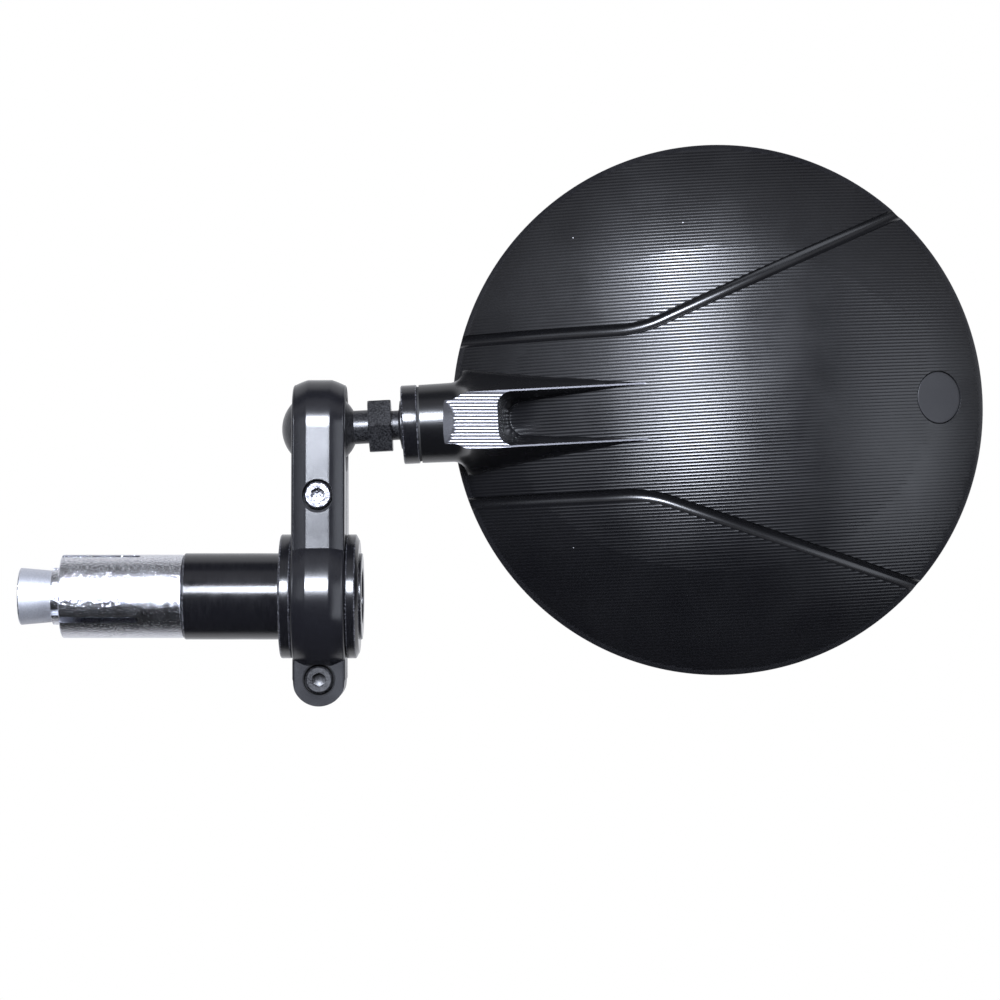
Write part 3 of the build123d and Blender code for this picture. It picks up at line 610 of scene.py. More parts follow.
# ================================================================ head
def head_blank():
    """Turned blank of the head: rim, chamfer, and the hollow with the ledge for the glass."""
    inner = DOME_RADIUS - HEAD_WALL
    recess = HEAD_RADIUS - HEAD_WALL
    ledge = recess - LEDGE_WIDTH
    ledge_face = RIM_BACK + LEDGE_DEPTH
    chamfer_start = HEAD_RADIUS - RIM_CHAMFER
    chamfer_top = dome_height(chamfer_start, 0) - 0.05 * MM
    fall = tan(RIM_CHAMFER_SLOPE)
    stock = 24 * MM
    corners = [
        (RIM_BACK, recess, 0.15 * MM),
        (RIM_BACK, HEAD_RADIUS, 0.35 * MM),
        (chamfer_top - RIM_CHAMFER * fall, HEAD_RADIUS, RIM_ROUND),
        (chamfer_top + stock * fall, chamfer_start - stock),
        (chamfer_top + stock * fall, 0),
    ]
    corners += [(dome_height(out, 0, inner), out) for out in evenly(0, ledge, 28)]
    corners += [(ledge_face, ledge, 0.15 * MM), (ledge_face, recess)]
    return turned("head_shell", corners, rim_black, segments=256, steps=5)


def fork_half_section(x):
    """Right half of the fork's section at x, from its top middle to its bottom middle."""
    top = FORK_TOP + FORK_TRIM
    edge = FORK_HALF_WIDTH - FORK_TRIM * tan(FORK_DRAFT)
    sunk = DOME_RADIUS - SINK
    buried = DOME_RADIUS - 0.8 * HEAD_WALL
    side_dome = dome_height(x, edge, sunk)
    height = max(top - side_dome, 0)
    reach = height * tan(FORK_DRAFT) + 0.55 * min(FORK_BLEND, height) + 0.05 * MM
    half = [(across, top) for across in evenly(0, edge, 8)[:-1]]
    for out in evenly(0, reach, 30):
        dome = dome_height(x, edge + out, sunk)
        width = min(FORK_BLEND, 0.8 * height)
        half.append((edge + out, blended(top - out / tan(FORK_DRAFT), dome, width)))
    for step in range(7):
        across = (edge + reach) * (1 - step / 6)
        half.append((across, dome_height(x, across, buried)))
    return half


def neck_half_section(x):
    """Right half of the round neck, with points that match the fork's."""
    radius = NECK_RADIUS + (x - NECK_FACE) * tan(NECK_FLARE)
    chord = asin(FORK_TOP / radius)
    angles = evenly(pi / 2, chord, 8)[:-1] + evenly(chord, -radians(50), 30)
    angles += evenly(-radians(56), -pi / 2, 6)
    return [(radius * cos(angle), radius * sin(angle)) for angle in angles]


def fork_stock():
    """Neck and fork as one solid: a round neck that swells into the drafted fork."""
    stations = [NECK_FACE, NECK_FACE + 2 * MM, SWELL_START - 0.4 * MM]
    stations += evenly(SWELL_START, SWELL_END, 20) + evenly(SWELL_END, FORK_TIP, 48)[1:]
    sections = []
    for x in stations:
        share = eased(SWELL_START, SWELL_END, x)
        if share == 0:
            half = neck_half_section(x)
        elif share == 1:
            half = fork_half_section(x)
        else:
            half = [
                (a[0] * (1 - share) + b[0] * share, a[1] * (1 - share) + b[1] * share)
                for a, b in zip(neck_half_section(x), fork_half_section(x))
            ]
        sections.append(whole(x, half))
    return lofted("fork_stock", sections, smooth_black)


def pocket_tool():
    """Cutter for the pocket between the tines: drafted walls, and a blend into the dome."""
    far = -9.5 * MM
    above = 10 * MM
    side_steps, corner_steps, end_steps = 46, 10, 6

    def ring(inset):
        """Half of the pocket's outline, moved inwards."""
        radius = min(POCKET_CORNER, POCKET_HALF_WIDTH - inset)
        corner_x = POCKET_START + inset + radius
        end_y = POCKET_HALF_WIDTH - inset - radius
        half = [(x, POCKET_HALF_WIDTH - inset) for x in evenly(far, corner_x, side_steps)[:-1]]
        for turn in evenly(0, pi / 2, corner_steps):
            half.append((corner_x - radius * sin(turn), end_y + radius * cos(turn)))
        half += [(POCKET_START + inset, end_y * (1 - step / end_steps))
                 for step in range(1, end_steps + 1)]
        return half + [(x, -y) for x, y in reversed(half[:-1])]

    def floor(x, y, inset):
        """Height of the cut at one point."""
        dome = dome_height(x, y, DOME_RADIUS - SINK)
        wall = FORK_TOP - inset / tan(POCKET_DRAFT)
        return blended(wall, dome, max(min(POCKET_BLEND, 0.8 * (FORK_TOP - dome)), 0))

    ring_count = 34
    insets = [POCKET_HALF_WIDTH * (step / ring_count) ** 1.3 for step in range(ring_count + 1)]
    maker = bmesh.new()
    rows = [[maker.verts.new((x, y, above)) for x, y in ring(0)]]
    for inset in insets:
        rows.append([maker.verts.new((x, y, floor(x, y, inset))) for x, y in ring(inset)])
    for row, following in zip(rows, rows[1:]):
        for i in range(len(row) - 1):
            maker.faces.new((row[i], row[i + 1], following[i + 1], following[i]))
    maker.faces.new(rows[0])
    maker.faces.new([row[0] for row in rows] + [row[-1] for row in reversed(rows)])
    return block_from(maker, "pocket_tool", smooth_black)


def flat_tool():
    """Cutter for the fork's flat: a ridged slab that starts in a ball-nosed ramp."""
    middle = FLAT_LENGTH / 2
    slab = grown("flat_slab", RIDGES, length=FLAT_LENGTH, width=FLAT_RIDGES * RIDGE_PITCH,
                 steps_along=93, steps_across=FLAT_RIDGES * RIDGE_SAMPLES + 1, base=14 * MM,
                 apex=FORK_TOP, sphere=5.0, pitch=RIDGE_PITCH, depth=RIDGE_DEPTH,
                 smooth_beyond=FLAT_RIDGED * RIDGE_PITCH,
                 ridges_end=POCKET_START + POCKET_CORNER - FLAT_START - middle,
                 ramp_end=FLAT_RAMP - middle, ramp_slope=0.6, ramp_bulge=100.0, finish=flat_black)
    slab.data.flip_normals()
    return moved(slab, Matrix.Translation((FLAT_START, 0, 0))
                 @ Matrix.Rotation(-stem_rise, 4, "Z") @ Matrix.Translation((middle, 0, 0)))


def groove_tool(side):
    """Cutter of one styling groove: in beside the neck, round a bend, and out at the rim."""
    start = -HEAD_RADIUS - 1 * MM
    bend = GROOVE_BEND - GROOVE_BEND_RADIUS * tan(GROOVE_ANGLE / 2)
    run = 57 * MM
    outline = [(x, GROOVE_OFFSET) for x in evenly(start, bend, 24)]
    for turn in evenly(0, GROOVE_ANGLE, 12)[1:]:
        outline.append((bend + GROOVE_BEND_RADIUS * sin(turn),
                        GROOVE_OFFSET + GROOVE_BEND_RADIUS * (1 - cos(turn))))
    end_x, end_y = outline[-1]
    outline += [(end_x + run * cos(GROOVE_ANGLE) * step / 36,
                 end_y + run * sin(GROOVE_ANGLE) * step / 36) for step in range(1, 37)]
    path = [Vector((x, side * y, dome_height(x, y) - GROOVE_DEPTH + GROOVE_CUTTER))
            for x, y in outline]
    return tube("groove_tool", path, GROOVE_CUTTER, smooth_black)


badge_tilt = asin(BADGE_DISTANCE / DOME_RADIUS)
badge_normal = Vector((sin(badge_tilt), 0, cos(badge_tilt)))
badge_place = axes(Vector((0, 0, DOME_APEX - DOME_RADIUS)) + badge_normal * DOME_RADIUS,
                   badge_normal, (0, 1, 0))


def badge_seat_tool():
    """Cutter for the badge's seat, with a flared mouth."""
    seat_radius = BADGE_RADIUS + BADGE_GAP
    seat = turned("badge_seat", [
        (-BADGE_SEAT, 0), (-BADGE_SEAT, seat_radius), (-0.2 * MM, seat_radius),
        (BADGE_SEAT, seat_radius + BADGE_FLARE), (BADGE_SEAT, 0),
    ], inner_black, segments=96)
    return moved(seat, badge_place)


def swivel_bore_tool():
    """Cutter for the collar's thread and the swivel's cavity in the neck."""
    thread_end = NECK_FACE + COLLAR_THREAD_LENGTH
    bore = turned("swivel_bore", [
        (NECK_FACE - 1 * MM, 0), (NECK_FACE - 1 * MM, COLLAR_THREAD_RADIUS),
        (thread_end, COLLAR_THREAD_RADIUS), (thread_end, SWIVEL_CAVITY_RADIUS),
        (SWIVEL_CAVITY, SWIVEL_CAVITY_RADIUS), (SWIVEL_CAVITY, 0),
    ], inner_black, segments=96)
    return moved(bore, axes((0, 0, 0), (1, 0, 0), (0, 0, 1)))


def head_shell():
    """The milled head: ridged dome, fork, grooves, badge seat and swivel bore."""
    width = RIDGE_COUNT * RIDGE_PITCH
    dome = grown("ridged_dome", RIDGES, length=width, width=width, steps_along=72,
                 steps_across=RIDGE_COUNT * RIDGE_SAMPLES + 1, base=RIM_BACK - 1 * MM,
                 apex=DOME_APEX, sphere=DOME_RADIUS, pitch=RIDGE_PITCH, depth=RIDGE_DEPTH,
                 smooth_beyond=width, ridges_end=width, ramp_end=-1.0, ramp_slope=1.0,
                 ramp_bulge=0.0, finish=milled_black)
    shell = carve(head_blank(), dome, operation="INTERSECT")
    fork = carve(fork_stock(), flat_tool(), pocket_tool())
    carve(shell, fork, operation="UNION")
    carve(shell, groove_tool(1), groove_tool(-1), badge_seat_tool(), swivel_bore_tool())
    deliver(shell, "head", ["mirror_head"], HEAD, sharp=28)


def badge():
    """Smooth domed disc in its seat."""
    steps = 10
    low, high = -BADGE_SEAT, -BADGE_RECESS - BADGE_DOME
    corners = [(low, 0), (low, BADGE_RADIUS - 0.05 * MM, 0.1 * MM),
               (high, BADGE_RADIUS, 0.12 * MM)]
    for step in range(1, steps + 1):
        share = 1 - step / steps
        corners.append((high + BADGE_DOME * (1 - share**2), BADGE_RADIUS * share))
    disc = turned("badge", corners, badge_black, badge_black, segments=96)
    deliver(disc, "head", ["badge_disc"], HEAD @ badge_place)


def glass():
    """Convex mirror glass with ground edges."""
    back_face, front_face = span("mirror_glass", 1)
    radius = (glass_high.x - glass_low.x) / 2
    sag = front_face - back_face - GLASS_THICKNESS
    steps = 24

    def crowned(crown):
        """Profile points of one face, from its crown to just inside the edge, and the edge."""
        face = [(-(crown - sag + sag * (1 - (step / steps) ** 2)), radius * step / steps)
                for step in range(steps)]
        return face, (sag - crown, radius, 0.3 * MM)

    front, front_edge = crowned(front_face)
    back, back_edge = crowned(back_face + sag)
    pane = turned("mirror_pane", front + [front_edge, back_edge] + back[::-1],
                  silvering, glass_edge, segments=192)
    deliver(pane, "head", ["mirror_glass"], HEAD, sharp=40)


# ================================================================ arm
ARM_FACES = span("mirror_arm", 0)
ARM_WIDTH = ARM_FACES[1] - ARM_FACES[0]
ARM_MIDDLE = (ARM_FACES[0] + ARM_FACES[1]) / 2
TOP_RADIUS = span("mirror_arm", 2)[1] - ball_centre.z
EAR_BOTTOM = span("mirror_arm", 2)[0]
RING_RADIUS = span("mirror_arm", 1)[1]
CREASE_HEIGHT = 9.6 * MM
FOOT = sqrt(RING_RADIUS**2 - CREASE_HEIGHT**2)
STRIP_HALF = 2.25 * MM
BEVEL_DEPTH = 0.95 * MM
BEVEL_SOFTNESS = 1.25  # 1 would be a plain bevel with hard edges
ARM_EDGE = 0.5 * MM
EAR_HALF = 5.4 * MM
JOURNAL_BORE = 10.05 * MM
BALL_BORE = 8.2 * MM
BALL_SHOULDER = 0.8 * MM
BALL_HOLE = 6.67 * MM
SLIT = 1.2 * MM
PINCH_HEAD_RADIUS = 2.75 * MM
PINCH_HEAD_HEIGHT = 3 * MM
PINCH_RECESS = 0.2 * MM  # head below the arm's front
COUNTERBORE_RADIUS = 3.0 * MM
COUNTERBORE_FLARE = 0.28 * MM
CLEARANCE_HOLE_RADIUS = 1.65 * MM
TAPPED_HOLE_RADIUS = 1.55 * MM


def arm_half_outline(inset, edge, bottom):
    """Half of one slice across the arm, from its round top down to the ear's tail."""
    top = TOP_RADIUS - inset
    ring = RING_RADIUS - inset
    foot = FOOT - inset
    crease = asin(sqrt(ring**2 - foot**2) / ring)
    ear = EAR_HALF - edge
    ear_turn = -acos(ear / ring)
    half = [(top * sin(turn), ball_centre.z + top * cos(turn))
            for turn in evenly(0, pi / 2, 18)[:-1]]
    half += list(zip(evenly(top, foot, 6), evenly(ball_centre.z, ring * sin(crease), 6)))[:-1]
    half += [(ring * cos(turn), ring * sin(turn)) for turn in evenly(crease, ear_turn, 30)[:-1]]
    half += [(ear, z) for z in evenly(ring * sin(ear_turn), bottom, 5)[:-1]]
    half += [(ear * (1 - i / 3), bottom) for i in range(4)]
    return half


def arm_stock():
    """The arm's outside: flat strip in the middle, a bevel each side, and rounded edges."""
    half_width = ARM_WIDTH / 2
    ear_radius = half_width
    ear_axis = EAR_BOTTOM + ear_radius
    bevel_run = half_width - STRIP_HALF
    stations = [(x, 0.0, 0.0) for x in evenly(0, STRIP_HALF, 4)]
    for i in range(1, 17):
        share = (i / 16) ** 1.5
        out = (bevel_run - ARM_EDGE) * share
        stations.append((STRIP_HALF + out, BEVEL_DEPTH * share**BEVEL_SOFTNESS, 0.0))
    for turn in evenly(0, pi / 2, 7)[1:]:
        drop = ARM_EDGE * (1 - cos(turn))
        stations.append((half_width - ARM_EDGE + ARM_EDGE * sin(turn), BEVEL_DEPTH + 1.3 * drop, drop))
    stations = [(-x, inset, edge) for x, inset, edge in reversed(stations[1:])] + stations
    sections = []
    for x, inset, edge in stations:
        tail = sqrt(max((ear_radius - edge) ** 2 - min(abs(x), ear_radius - edge) ** 2, 0))
        half = arm_half_outline(inset, edge, ear_axis - tail)
        sections.append(whole(ARM_MIDDLE + x, half))
    return lofted("arm", sections, arm_black)


def bore_tool(start, end, radius, chamfer):
    """Cutter along Z whose ends are flared, so that the bore's mouths are chamfered."""
    past = 0.5 * MM
    return turned("bore_tool", [
        (start - past, 0), (start - past, radius + chamfer + past), (start + chamfer, radius),
        (end - chamfer, radius), (end + past, radius + chamfer + past), (end + past, 0),
    ], inner_black, segments=96)


def seat_tool(start, end, radius):
    """Cutter along Z for the ball seat's bore, which stops at the arm's shoulder."""
    chamfer, past = 0.25 * MM, 0.5 * MM
    return turned("seat_tool", [
        (start, 0), (start, radius), (end - chamfer, radius),
        (end + past, radius + chamfer + past), (end + past, 0),
    ], inner_black, segments=96)


def screw_place(node):
    """Place of a pinch screw: Z out of the arm's front, and the origin at the head's top."""
    low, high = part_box(node)
    return axes(((low.x + high.x) / 2, low.y, (low.z + high.z) / 2), FRONT, UP)


def screw_hole_tool(node):
    """Cutter for a pinch screw: counterbore, clearance as far as the slit, and tapped hole."""
    past = 0.6 * MM
    depth = 24 * MM
    mouth = PINCH_RECESS + past
    slit = span(node, 1)[0]
    hole = turned("screw_hole", [
        (mouth, 0), (mouth, COUNTERBORE_RADIUS + COUNTERBORE_FLARE + past),
        (-0.08 * MM, COUNTERBORE_RADIUS), (-PINCH_HEAD_HEIGHT, COUNTERBORE_RADIUS),
        (-PINCH_HEAD_HEIGHT, CLEARANCE_HOLE_RADIUS), (slit, CLEARANCE_HOLE_RADIUS),
        (slit, TAPPED_HOLE_RADIUS), (-depth, TAPPED_HOLE_RADIUS), (-depth, 0),
    ], inner_black, segments=72)
    return moved(hole, screw_place(node))


def arm():
    """The arm with its bores, its slit and its screw holes."""
    solid = arm_stock()
    inner, outer = ARM_FACES
    past = 1 * MM
    ball_bar = axes((0, 0, ball_centre.z), OUTWARDS, UP)
    journal = bore_tool(inner, outer, JOURNAL_BORE, 0.25 * MM)
    hole = bore_tool(inner, outer, BALL_HOLE, 0.3 * MM)
    seat = seat_tool(inner + BALL_SHOULDER, outer, BALL_BORE)
    carve(solid, moved(journal, BAR), moved(hole, ball_bar), moved(seat, ball_bar))
    low, high = EAR_BOTTOM - past, ball_centre.z
    corners = [(-SLIT / 2, low), (SLIT / 2, low), (SLIT / 2, high), (-SLIT / 2, high)]
    slit = lofted("slit", [[Vector((x, y, z)) for y, z in corners]
                           for x in (inner - past, outer + past)], inner_black)
    carve(solid, slit, screw_hole_tool("ball_pinch_screw"), screw_hole_tool("ring_pinch_screw"))
    deliver(solid, "arm", ["mirror_arm"], sharp=14)


def cap_screw(name, node, material, place, radius, pitch, head_radius, head_height, socket, teeth,
              shank):
    """Socket cap screw whose head's top is at the place's origin."""
    low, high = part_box(node)
    length = max(high - low)
    head = knurled(name, -head_height, 0, head_radius, teeth, material, 0.14 * head_height)
    socket_floor = -head_height / 2
    inside = 0.2 * MM
    mouth = turned("recess", [
        (0.5 * MM, 0), (0.5 * MM, socket / sqrt(3) * 1.02 + 0.5 * MM), (-0.1 * MM, socket / 2),
        (-0.1 * MM, 0)], material, segments=48)
    drill = turned("dimple", [
        (socket_floor - 0.2 * socket, 0), (socket_floor, 0.42 * socket),
        (socket_floor + inside, 0.42 * socket), (socket_floor + inside, 0),
    ], material, segments=36)
    carve(head, hexagon("socket", socket_floor, 1 * MM, socket, material), mouth, drill)
    thread_end = -head_height - shank
    rod = threaded("thread", -length, thread_end, radius, pitch, material, tip=0.6 * pitch)
    neck = turned("neck", [
        (thread_end - pitch, 0), (thread_end - pitch, radius * 0.8), (thread_end, radius),
        (inside - head_height, radius), (inside - head_height, 0),
    ], material, segments=48)
    carve(head, rod, neck, operation="UNION")
    return moved(head, place)


def pinch_screws():
    """The M3 screws that close the arm on the ball's seat and on the journal."""
    for name, node, material, slot in (
        ("ball_clamp_screw", "ball_pinch_screw", steel, "bright_steel"),
        ("ring_clamp_screw", "ring_pinch_screw", oxide_black, "black_oxide"),
    ):
        screw = cap_screw(name, node, material, screw_place(node), radius=1.5 * MM, pitch=0.5 * MM,
                          head_radius=PINCH_HEAD_RADIUS, head_height=PINCH_HEAD_HEIGHT,
                          socket=2.5 * MM, teeth=24, shank=0.5 * MM)
        deliver(screw, "arm", [node])


# ================================================================ bar end
FLANGE_RADIUS = span("bar_end_body", 2)[1]
PLUG_START, JOURNAL_END = span("bar_end_body", 0)
CAP_INNER, CAP_FACE = span("end_cap", 0)
PLUG_RADIUS = 8.5 * MM
LOCATING_RADIUS = 5 * MM  # the sleeve's spigot in the plug
LOCATING_LENGTH = 2.1 * MM
FIT = 0.05 * MM
JOURNAL_RADIUS = 10 * MM
FLANGE_WIDTH = 2.4 * MM
BOSS_HEIGHT = 0.55 * MM
BOSS_RADIUS = 8.5 * MM
CAP_BEVEL_ALONG = 0.65 * MM
CAP_BEVEL_ACROSS = 1.2 * MM
SPIGOT_RADIUS = 7 * MM
BOLT_CLEARANCE_RADIUS = 3.2 * MM
CAP_BORE = 5.3 * MM


def plug_body():
    """Plug, flange and journal in one turned piece."""
    spigot_floor = CAP_INNER - 0.1 * MM
    locating_floor = PLUG_START + LOCATING_LENGTH
    body = turned("plug_body", [
        (PLUG_START, LOCATING_RADIUS + FIT, 0.15 * MM), (PLUG_START, PLUG_RADIUS, 0.45 * MM),
        (0, PLUG_RADIUS, 0.25 * MM), (0, FLANGE_RADIUS, 0.4 * MM),
        (FLANGE_WIDTH, FLANGE_RADIUS, 0.4 * MM), (FLANGE_WIDTH, JOURNAL_RADIUS, 0.15 * MM),
        (JOURNAL_END, JOURNAL_RADIUS, 0.2 * MM), (JOURNAL_END, SPIGOT_RADIUS + FIT),
        (spigot_floor, SPIGOT_RADIUS + FIT), (spigot_floor, BOLT_CLEARANCE_RADIUS),
        (locating_floor, BOLT_CLEARANCE_RADIUS), (locating_floor, LOCATING_RADIUS + FIT),
    ], gloss_black, worn_black, segments=160)
    deliver(body, "bar_end", ["bar_end_body"], BAR)


def outer_cap():
    """Cap with a low boss round the bolt's head."""
    bore_floor = span("bolt_washer", 0)[0]
    rim = CAP_FACE - BOSS_HEIGHT
    cap = turned("outer_cap", [
        (CAP_INNER, BOLT_CLEARANCE_RADIUS, 0.1 * MM), (CAP_INNER, SPIGOT_RADIUS, 0.2 * MM),
        (JOURNAL_END, SPIGOT_RADIUS), (JOURNAL_END, FLANGE_RADIUS, 0.3 * MM),
        (rim - CAP_BEVEL_ALONG, FLANGE_RADIUS, 0.3 * MM),
        (rim, FLANGE_RADIUS - CAP_BEVEL_ACROSS, 0.25 * MM), (rim, BOSS_RADIUS, 0.12 * MM),
        (CAP_FACE, BOSS_RADIUS, 0.2 * MM), (CAP_FACE, CAP_BORE, 0.25 * MM),
        (bore_floor, CAP_BORE), (bore_floor, BOLT_CLEARANCE_RADIUS),
    ], gloss_black, worn_black, segments=160)
    deliver(cap, "bar_end", ["end_cap"], BAR)


CONE_SLOPE = tan(radians(5.2))
CONE_RADIUS = 5.65 * MM
CONE_BORE = 3.06 * MM
CONE_STAND_OUT = 6.5 * MM
WEDGE_CLEARANCE = 0.15 * MM
NOSE_WALL = 0.39 * MM
NOSE_LENGTH = 1.8 * MM
SLEEVE_BORE = 4.5 * MM
SLEEVE_END_WALL = 5 * MM
SLOT_ANGLES = (75, -33, -157)  # from the front, upwards
SLOT_HALF = 0.7 * MM
SLOT_REACH = 15.7 * MM


def sleeve():
    """Slotted expander sleeve with its necked nose."""
    nose, inner_end = span("expander_sleeve", 0)
    radius = span("expander_sleeve", 2)[1]
    shoulder = nose + NOSE_LENGTH
    mouth = CONE_RADIUS - CONE_STAND_OUT * CONE_SLOPE + WEDGE_CLEARANCE
    neck = mouth + NOSE_WALL
    bore_start = nose + (mouth - SLEEVE_BORE) / CONE_SLOPE
    bore_end = PLUG_START - SLEEVE_END_WALL
    body = turned("sleeve", [
        (nose, mouth, 0.08 * MM), (nose, neck, 0.1 * MM), (shoulder, neck, 0.1 * MM),
        (shoulder, radius, 0.4 * MM), (PLUG_START, radius, 0.35 * MM),
        (PLUG_START, LOCATING_RADIUS), (inner_end, LOCATING_RADIUS, 0.2 * MM),
        (inner_end, BOLT_CLEARANCE_RADIUS), (bore_end, BOLT_CLEARANCE_RADIUS),
        (bore_end, SLEEVE_BORE), (bore_start, SLEEVE_BORE),
    ], zinc, zinc, segments=160)
    moved(body, BAR)
    start, end = nose - 1 * MM, shoulder + SLOT_REACH
    outline = [(start, -SLOT_HALF), (end - SLOT_HALF, -SLOT_HALF),
               (end - 0.2 * MM, -0.4 * SLOT_HALF), (end - 0.2 * MM, 0.4 * SLOT_HALF),
               (end - SLOT_HALF, SLOT_HALF), (start, SLOT_HALF)]
    for angle in SLOT_ANGLES:
        turn = radians(angle)
        outward = Vector((0, -cos(turn), sin(turn)))
        across = OUTWARDS.cross(outward)
        sections = [
            [Vector((x, 0, 0)) + outward * distance + across * side for x, side in outline]
            for distance in (0.5 * MM, radius + 2 * MM)
        ]
        carve(body, lofted("slot", sections, zinc))
    deliver(body, "bar_end", ["expander_sleeve"])


def cone():
    """Tapered wedge that the bolt draws into the sleeve."""
    start, end = span("wedge_cone", 0)
    small = CONE_RADIUS - (end - start) * CONE_SLOPE
    body = turned("wedge", [
        (start, CONE_BORE, 0.3 * MM), (start, CONE_RADIUS - 0.02 * MM, 0.25 * MM),
        (end, small, 0.2 * MM), (end, CONE_BORE, 0.2 * MM),
    ], cast_grey, zinc, segments=128)
    deliver(body, "cone", ["wedge_cone"], BAR)


def expander_bolt():
    """M6 socket bolt through the plug, with its thread in the wedge."""
    place = axes((span("expander_bolt", 0)[1], 0, 0), OUTWARDS, UP)
    screw = cap_screw("draw_bolt", "expander_bolt", oxide_black, place, radius=3 * MM, pitch=1 * MM,
                      head_radius=5 * MM, head_height=6 * MM, socket=5 * MM, teeth=36,
                      shank=34 * MM)
    deliver(screw, "bolt", ["expander_bolt"])


# ================================================================ ball stud and swivel
BALL_RADIUS = 7.5 * MM
STUD_NECK_RADIUS = 3.3 * MM
HEX_WIDTH = 10 * MM
HEX_CORNER_RADIUS = 5.8 * MM  # the hexagon's corners are turned down to this
HEX_START, HEX_END = 9.6 * MM, 14.1 * MM  # from the ball's centre, like the other places here
SHANK_RADIUS = 2.9 * MM
SHANK_END = 15.6 * MM
THRUST_RADIUS = 4.75 * MM
THRUST_MIDDLE, THRUST_END = 15.875 * MM, 16.15 * MM
SWIVEL_RADIUS = 2.5 * MM
SWIVEL_PITCH = 0.8 * MM
SWIVEL_END, STUD_END = 26.0 * MM, 30.2 * MM
COLLAR_START, COLLAR_END = 16.2 * MM, 19.4 * MM
COLLAR_RADIUS = 7.75 * MM
COLLAR_BORE = 3.65 * MM
SEAL_THICKNESS = 0.4 * MM


def stud():
    """Ball, hexagon and swivel pin in one piece."""
    root = sqrt(BALL_RADIUS**2 - STUD_NECK_RADIUS**2)
    turn_end = pi - asin(STUD_NECK_RADIUS / BALL_RADIUS)
    corners = [(-BALL_RADIUS * cos(turn), BALL_RADIUS * sin(turn))
               for turn in evenly(0, turn_end, 40)[:-1]]
    inside_hex = HEX_END - 0.1 * MM
    corners += [
        (root, STUD_NECK_RADIUS), (HEX_START + 0.6 * MM, STUD_NECK_RADIUS),
        (inside_hex, STUD_NECK_RADIUS), (inside_hex, SHANK_RADIUS),
        (SHANK_END, SHANK_RADIUS, 0.2 * MM), (THRUST_MIDDLE, THRUST_RADIUS, 0.1 * MM),
        (THRUST_END, THRUST_RADIUS), (THRUST_END, SWIVEL_RADIUS), (SWIVEL_END, SWIVEL_RADIUS),
        (SWIVEL_END, 0),
    ]
    body = turned("ball_and_stud", corners, oxide_black, oxide_black, segments=128)
    face = HEX_CORNER_RADIUS - 0.5 * MM
    bevel = 0.35 * MM
    nut = turned("hex_turning", [
        (HEX_START, 0), (HEX_START, face), (HEX_START + bevel, HEX_CORNER_RADIUS),
        (HEX_END - bevel, HEX_CORNER_RADIUS), (HEX_END, face), (HEX_END, 0),
    ], oxide_black, segments=96)
    bar = hexagon("hex", HEX_START - 0.6 * MM, HEX_END + 0.9 * MM, HEX_WIDTH, oxide_black)
    carve(nut, bar, operation="INTERSECT")
    rod = threaded("stud_thread", -STUD_END, 2 * MM - SWIVEL_END, SWIVEL_RADIUS, SWIVEL_PITCH,
                   oxide_black, tip=0.4 * MM)
    moved(rod, Matrix.Rotation(pi, 4, "X"))
    carve(body, nut, rod, operation="UNION")
    deliver(body, "stud", ["ball_stud"], STEM, sharp=25)


def collar():
    """Threaded collar that closes the swivel."""
    thread_radius = COLLAR_THREAD_RADIUS - 0.05 * MM
    thread_end = COLLAR_END + SEAL_THICKNESS + COLLAR_THREAD_LENGTH
    ring = turned("swivel_collar", [
        (COLLAR_START, COLLAR_BORE, 0.1 * MM), (COLLAR_START, COLLAR_RADIUS, 0.35 * MM),
        (COLLAR_END, COLLAR_RADIUS, 0.3 * MM), (COLLAR_END, thread_radius),
        (thread_end, thread_radius, 0.2 * MM), (thread_end, COLLAR_BORE),
    ], collar_black, worn_black, segments=160)
    deliver(ring, "head", ["neck_collar"], STEM)


# ================================================================ the rest keeps its CAD shape
CARRIED = {
    "bolt_washer": steel, "ball_seat": nylon, "stud_washer": steel, "stud_nut": steel,
    "collar_seal": rubber, "neck_bush": nylon, "glass_pad": foam,
}

head_shell()
badge()
glass()
arm()
pinch_screws()
plug_body()
outer_cap()
sleeve()
cone()
expander_bolt()
stud()
collar()
for node, material in CARRIED.items():
    mesh = frame["nodes"][node].data
    mesh.materials.clear()
    mesh.materials.append(material)


# ================================================================ studio
FLOOR_RADIUS = 0.34
FLOOR_LEVEL = -0.15
# Brightness that reflections see, by angle from the front: straight up is 90, and behind is 180.
STUDIO_LEVELS = (
    (-180, 1.0), (-122, 0.9), (-108, 0.04), (-45, 0.012), (-12, 0.08), (34, 0.12), (38, 0.02),
    (46, 0.55), (70, 0.5), (78, 0.06), (98, 0.06), (112, 0.9), (180, 1.0),
)


def floor():
    """Plain pale floor under the whole reach of the mirror."""
    maker = bmesh.new()
    bmesh.ops.create_circle(maker, cap_ends=True, segments=128, radius=FLOOR_RADIUS)
    mesh = bpy.data.meshes.new("floor")
    maker.to_mesh(mesh)
    maker.free()
    ground = in_scene("floor", mesh)
    ground.location = ((cad_low.x + cad_high.x) / 2, 0, FLOOR_LEVEL)
    ground.visible_glossy = False
    material = bpy.data.materials.new("pale_floor")
    material.use_nodes = True
    tree = material.node_tree
    shader = tree.nodes["Principled BSDF"]
    shade = mixed(tree, noise(tree, 30, 2), (0.86, 0.86, 0.87), (0.9, 0.9, 0.91))
    fill(tree, shader.inputs["Base Color"], shade)
    shader.inputs["Roughness"].default_value = 0.8
    mesh.materials.append(material)


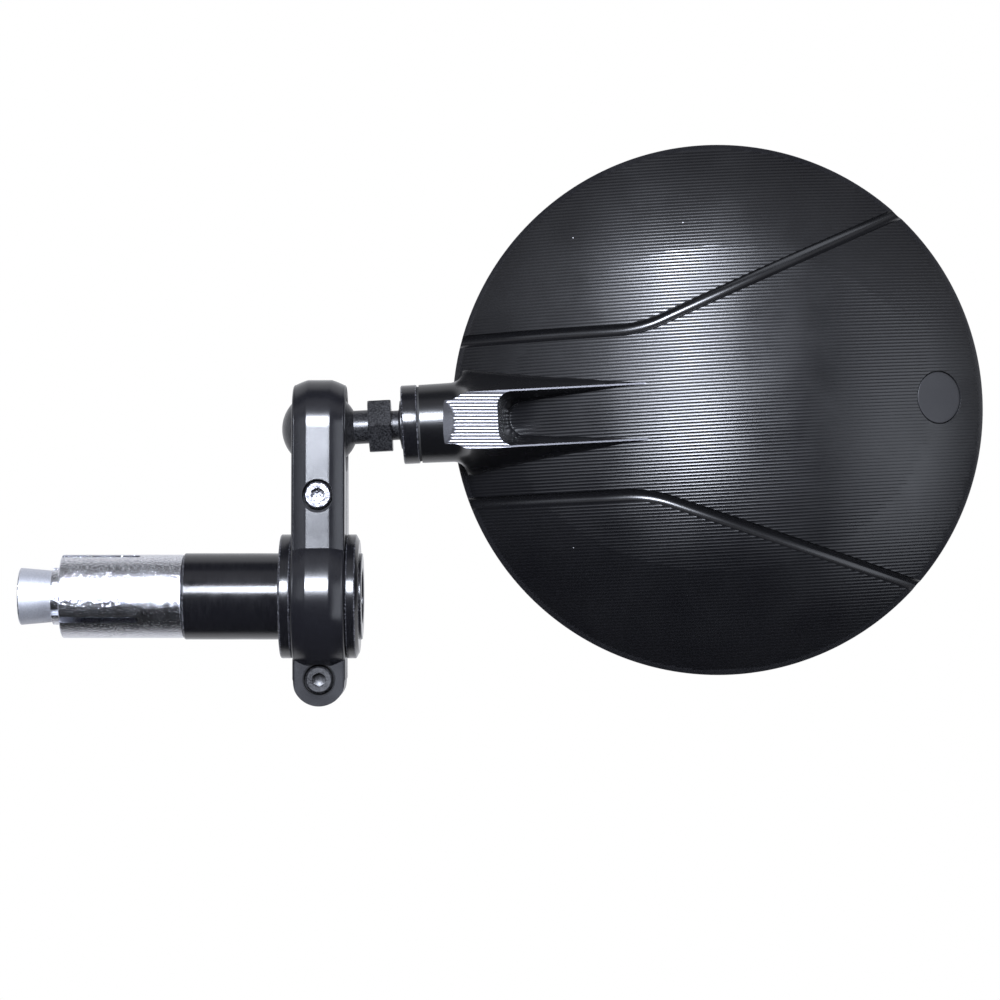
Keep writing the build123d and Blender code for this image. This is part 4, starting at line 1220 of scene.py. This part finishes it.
def softbox(name, azimuth, elevation, distance, width, height, power, tint):
    """Area light that looks at the mirror from a direction, azimuth 0 being the front."""
    target = Vector((head_centre.x - 0.03, 0, 0.02))  # between the head's middle and the arm
    turn, rise = radians(azimuth), radians(elevation)
    direction = Vector((sin(turn) * cos(rise), -cos(turn) * cos(rise), sin(rise)))
    data = bpy.data.lights.new(name, "AREA")
    data.shape = "RECTANGLE"
    data.size = width
    data.size_y = height
    data.energy = power
    data.color = tint
    lamp = in_scene(name, data)
    lamp.location = target + direction * distance
    lamp.rotation_mode = "QUATERNION"
    lamp.rotation_quaternion = direction.to_track_quat("Z", "Y")


def surroundings():
    """White to the eye; reflections see it dark in front, and pale behind and far above."""
    world = bpy.data.worlds.new("studio")
    bpy.context.scene.world = world
    world.use_nodes = True
    tree = world.node_tree
    ray = tree.nodes.new("ShaderNodeLightPath")
    where = tree.nodes.new("ShaderNodeTexCoord")
    split = new_node(tree, "ShaderNodeSeparateXYZ", {0: where.outputs["Generated"]})
    sideways, upwards = (Figure(tree, split.outputs[index]) for index in (1, 2))
    around = ranged(tree, upwards.worked("ARCTAN2", sideways * -1.0), -pi, pi, 0.0, 1.0)
    ramp = new_node(tree, "ShaderNodeValToRGB", {0: around})
    stops = ramp.color_ramp.elements
    while len(stops) < len(STUDIO_LEVELS):
        stops.new(0.5)
    for stop, (angle, level) in zip(stops, STUDIO_LEVELS):
        stop.position = (angle + 180) / 360
        stop.color = (0.94 * level, 0.95 * level, level, 1)
    shown = mixed(tree, ray.outputs["Is Camera Ray"], ramp.outputs[0], (1.0, 1.0, 1.0))
    fill(tree, tree.nodes["Background"].inputs["Color"], shown)


floor()
softbox("key_softbox", -6, 19, 2.0, 0.6, 0.55, 118, (0.83, 0.88, 1.0))
softbox("right_fill", 54, -6, 2.0, 1.1, 1.8, 16, (0.85, 0.9, 1.0))
softbox("left_fill", -44, 10, 2.0, 0.7, 1.0, 2.8, (0.85, 0.9, 1.0))
surroundings()

# ---------------------------------------------------------------- camera
CAMERA_DISTANCE = 0.65
CAMERA_RISE = radians(0.3)  # the view looks a little upwards
LENS = 118.8
AIM = Vector((0.0431, 0, 0.01897))
camera_data = bpy.data.cameras.new("camera")
camera_data.lens = LENS
camera_data.sensor_width = 36
camera_data.clip_start = 0.01
camera = in_scene("camera", camera_data)
looking = Vector((0, cos(CAMERA_RISE), sin(CAMERA_RISE)))
camera.location = AIM - looking * CAMERA_DISTANCE
camera.rotation_mode = "QUATERNION"
camera.rotation_quaternion = looking.to_track_quat("-Z", "Y")
bpy.context.scene.camera = camera
bpy.context.scene.view_settings.view_transform = "Standard"
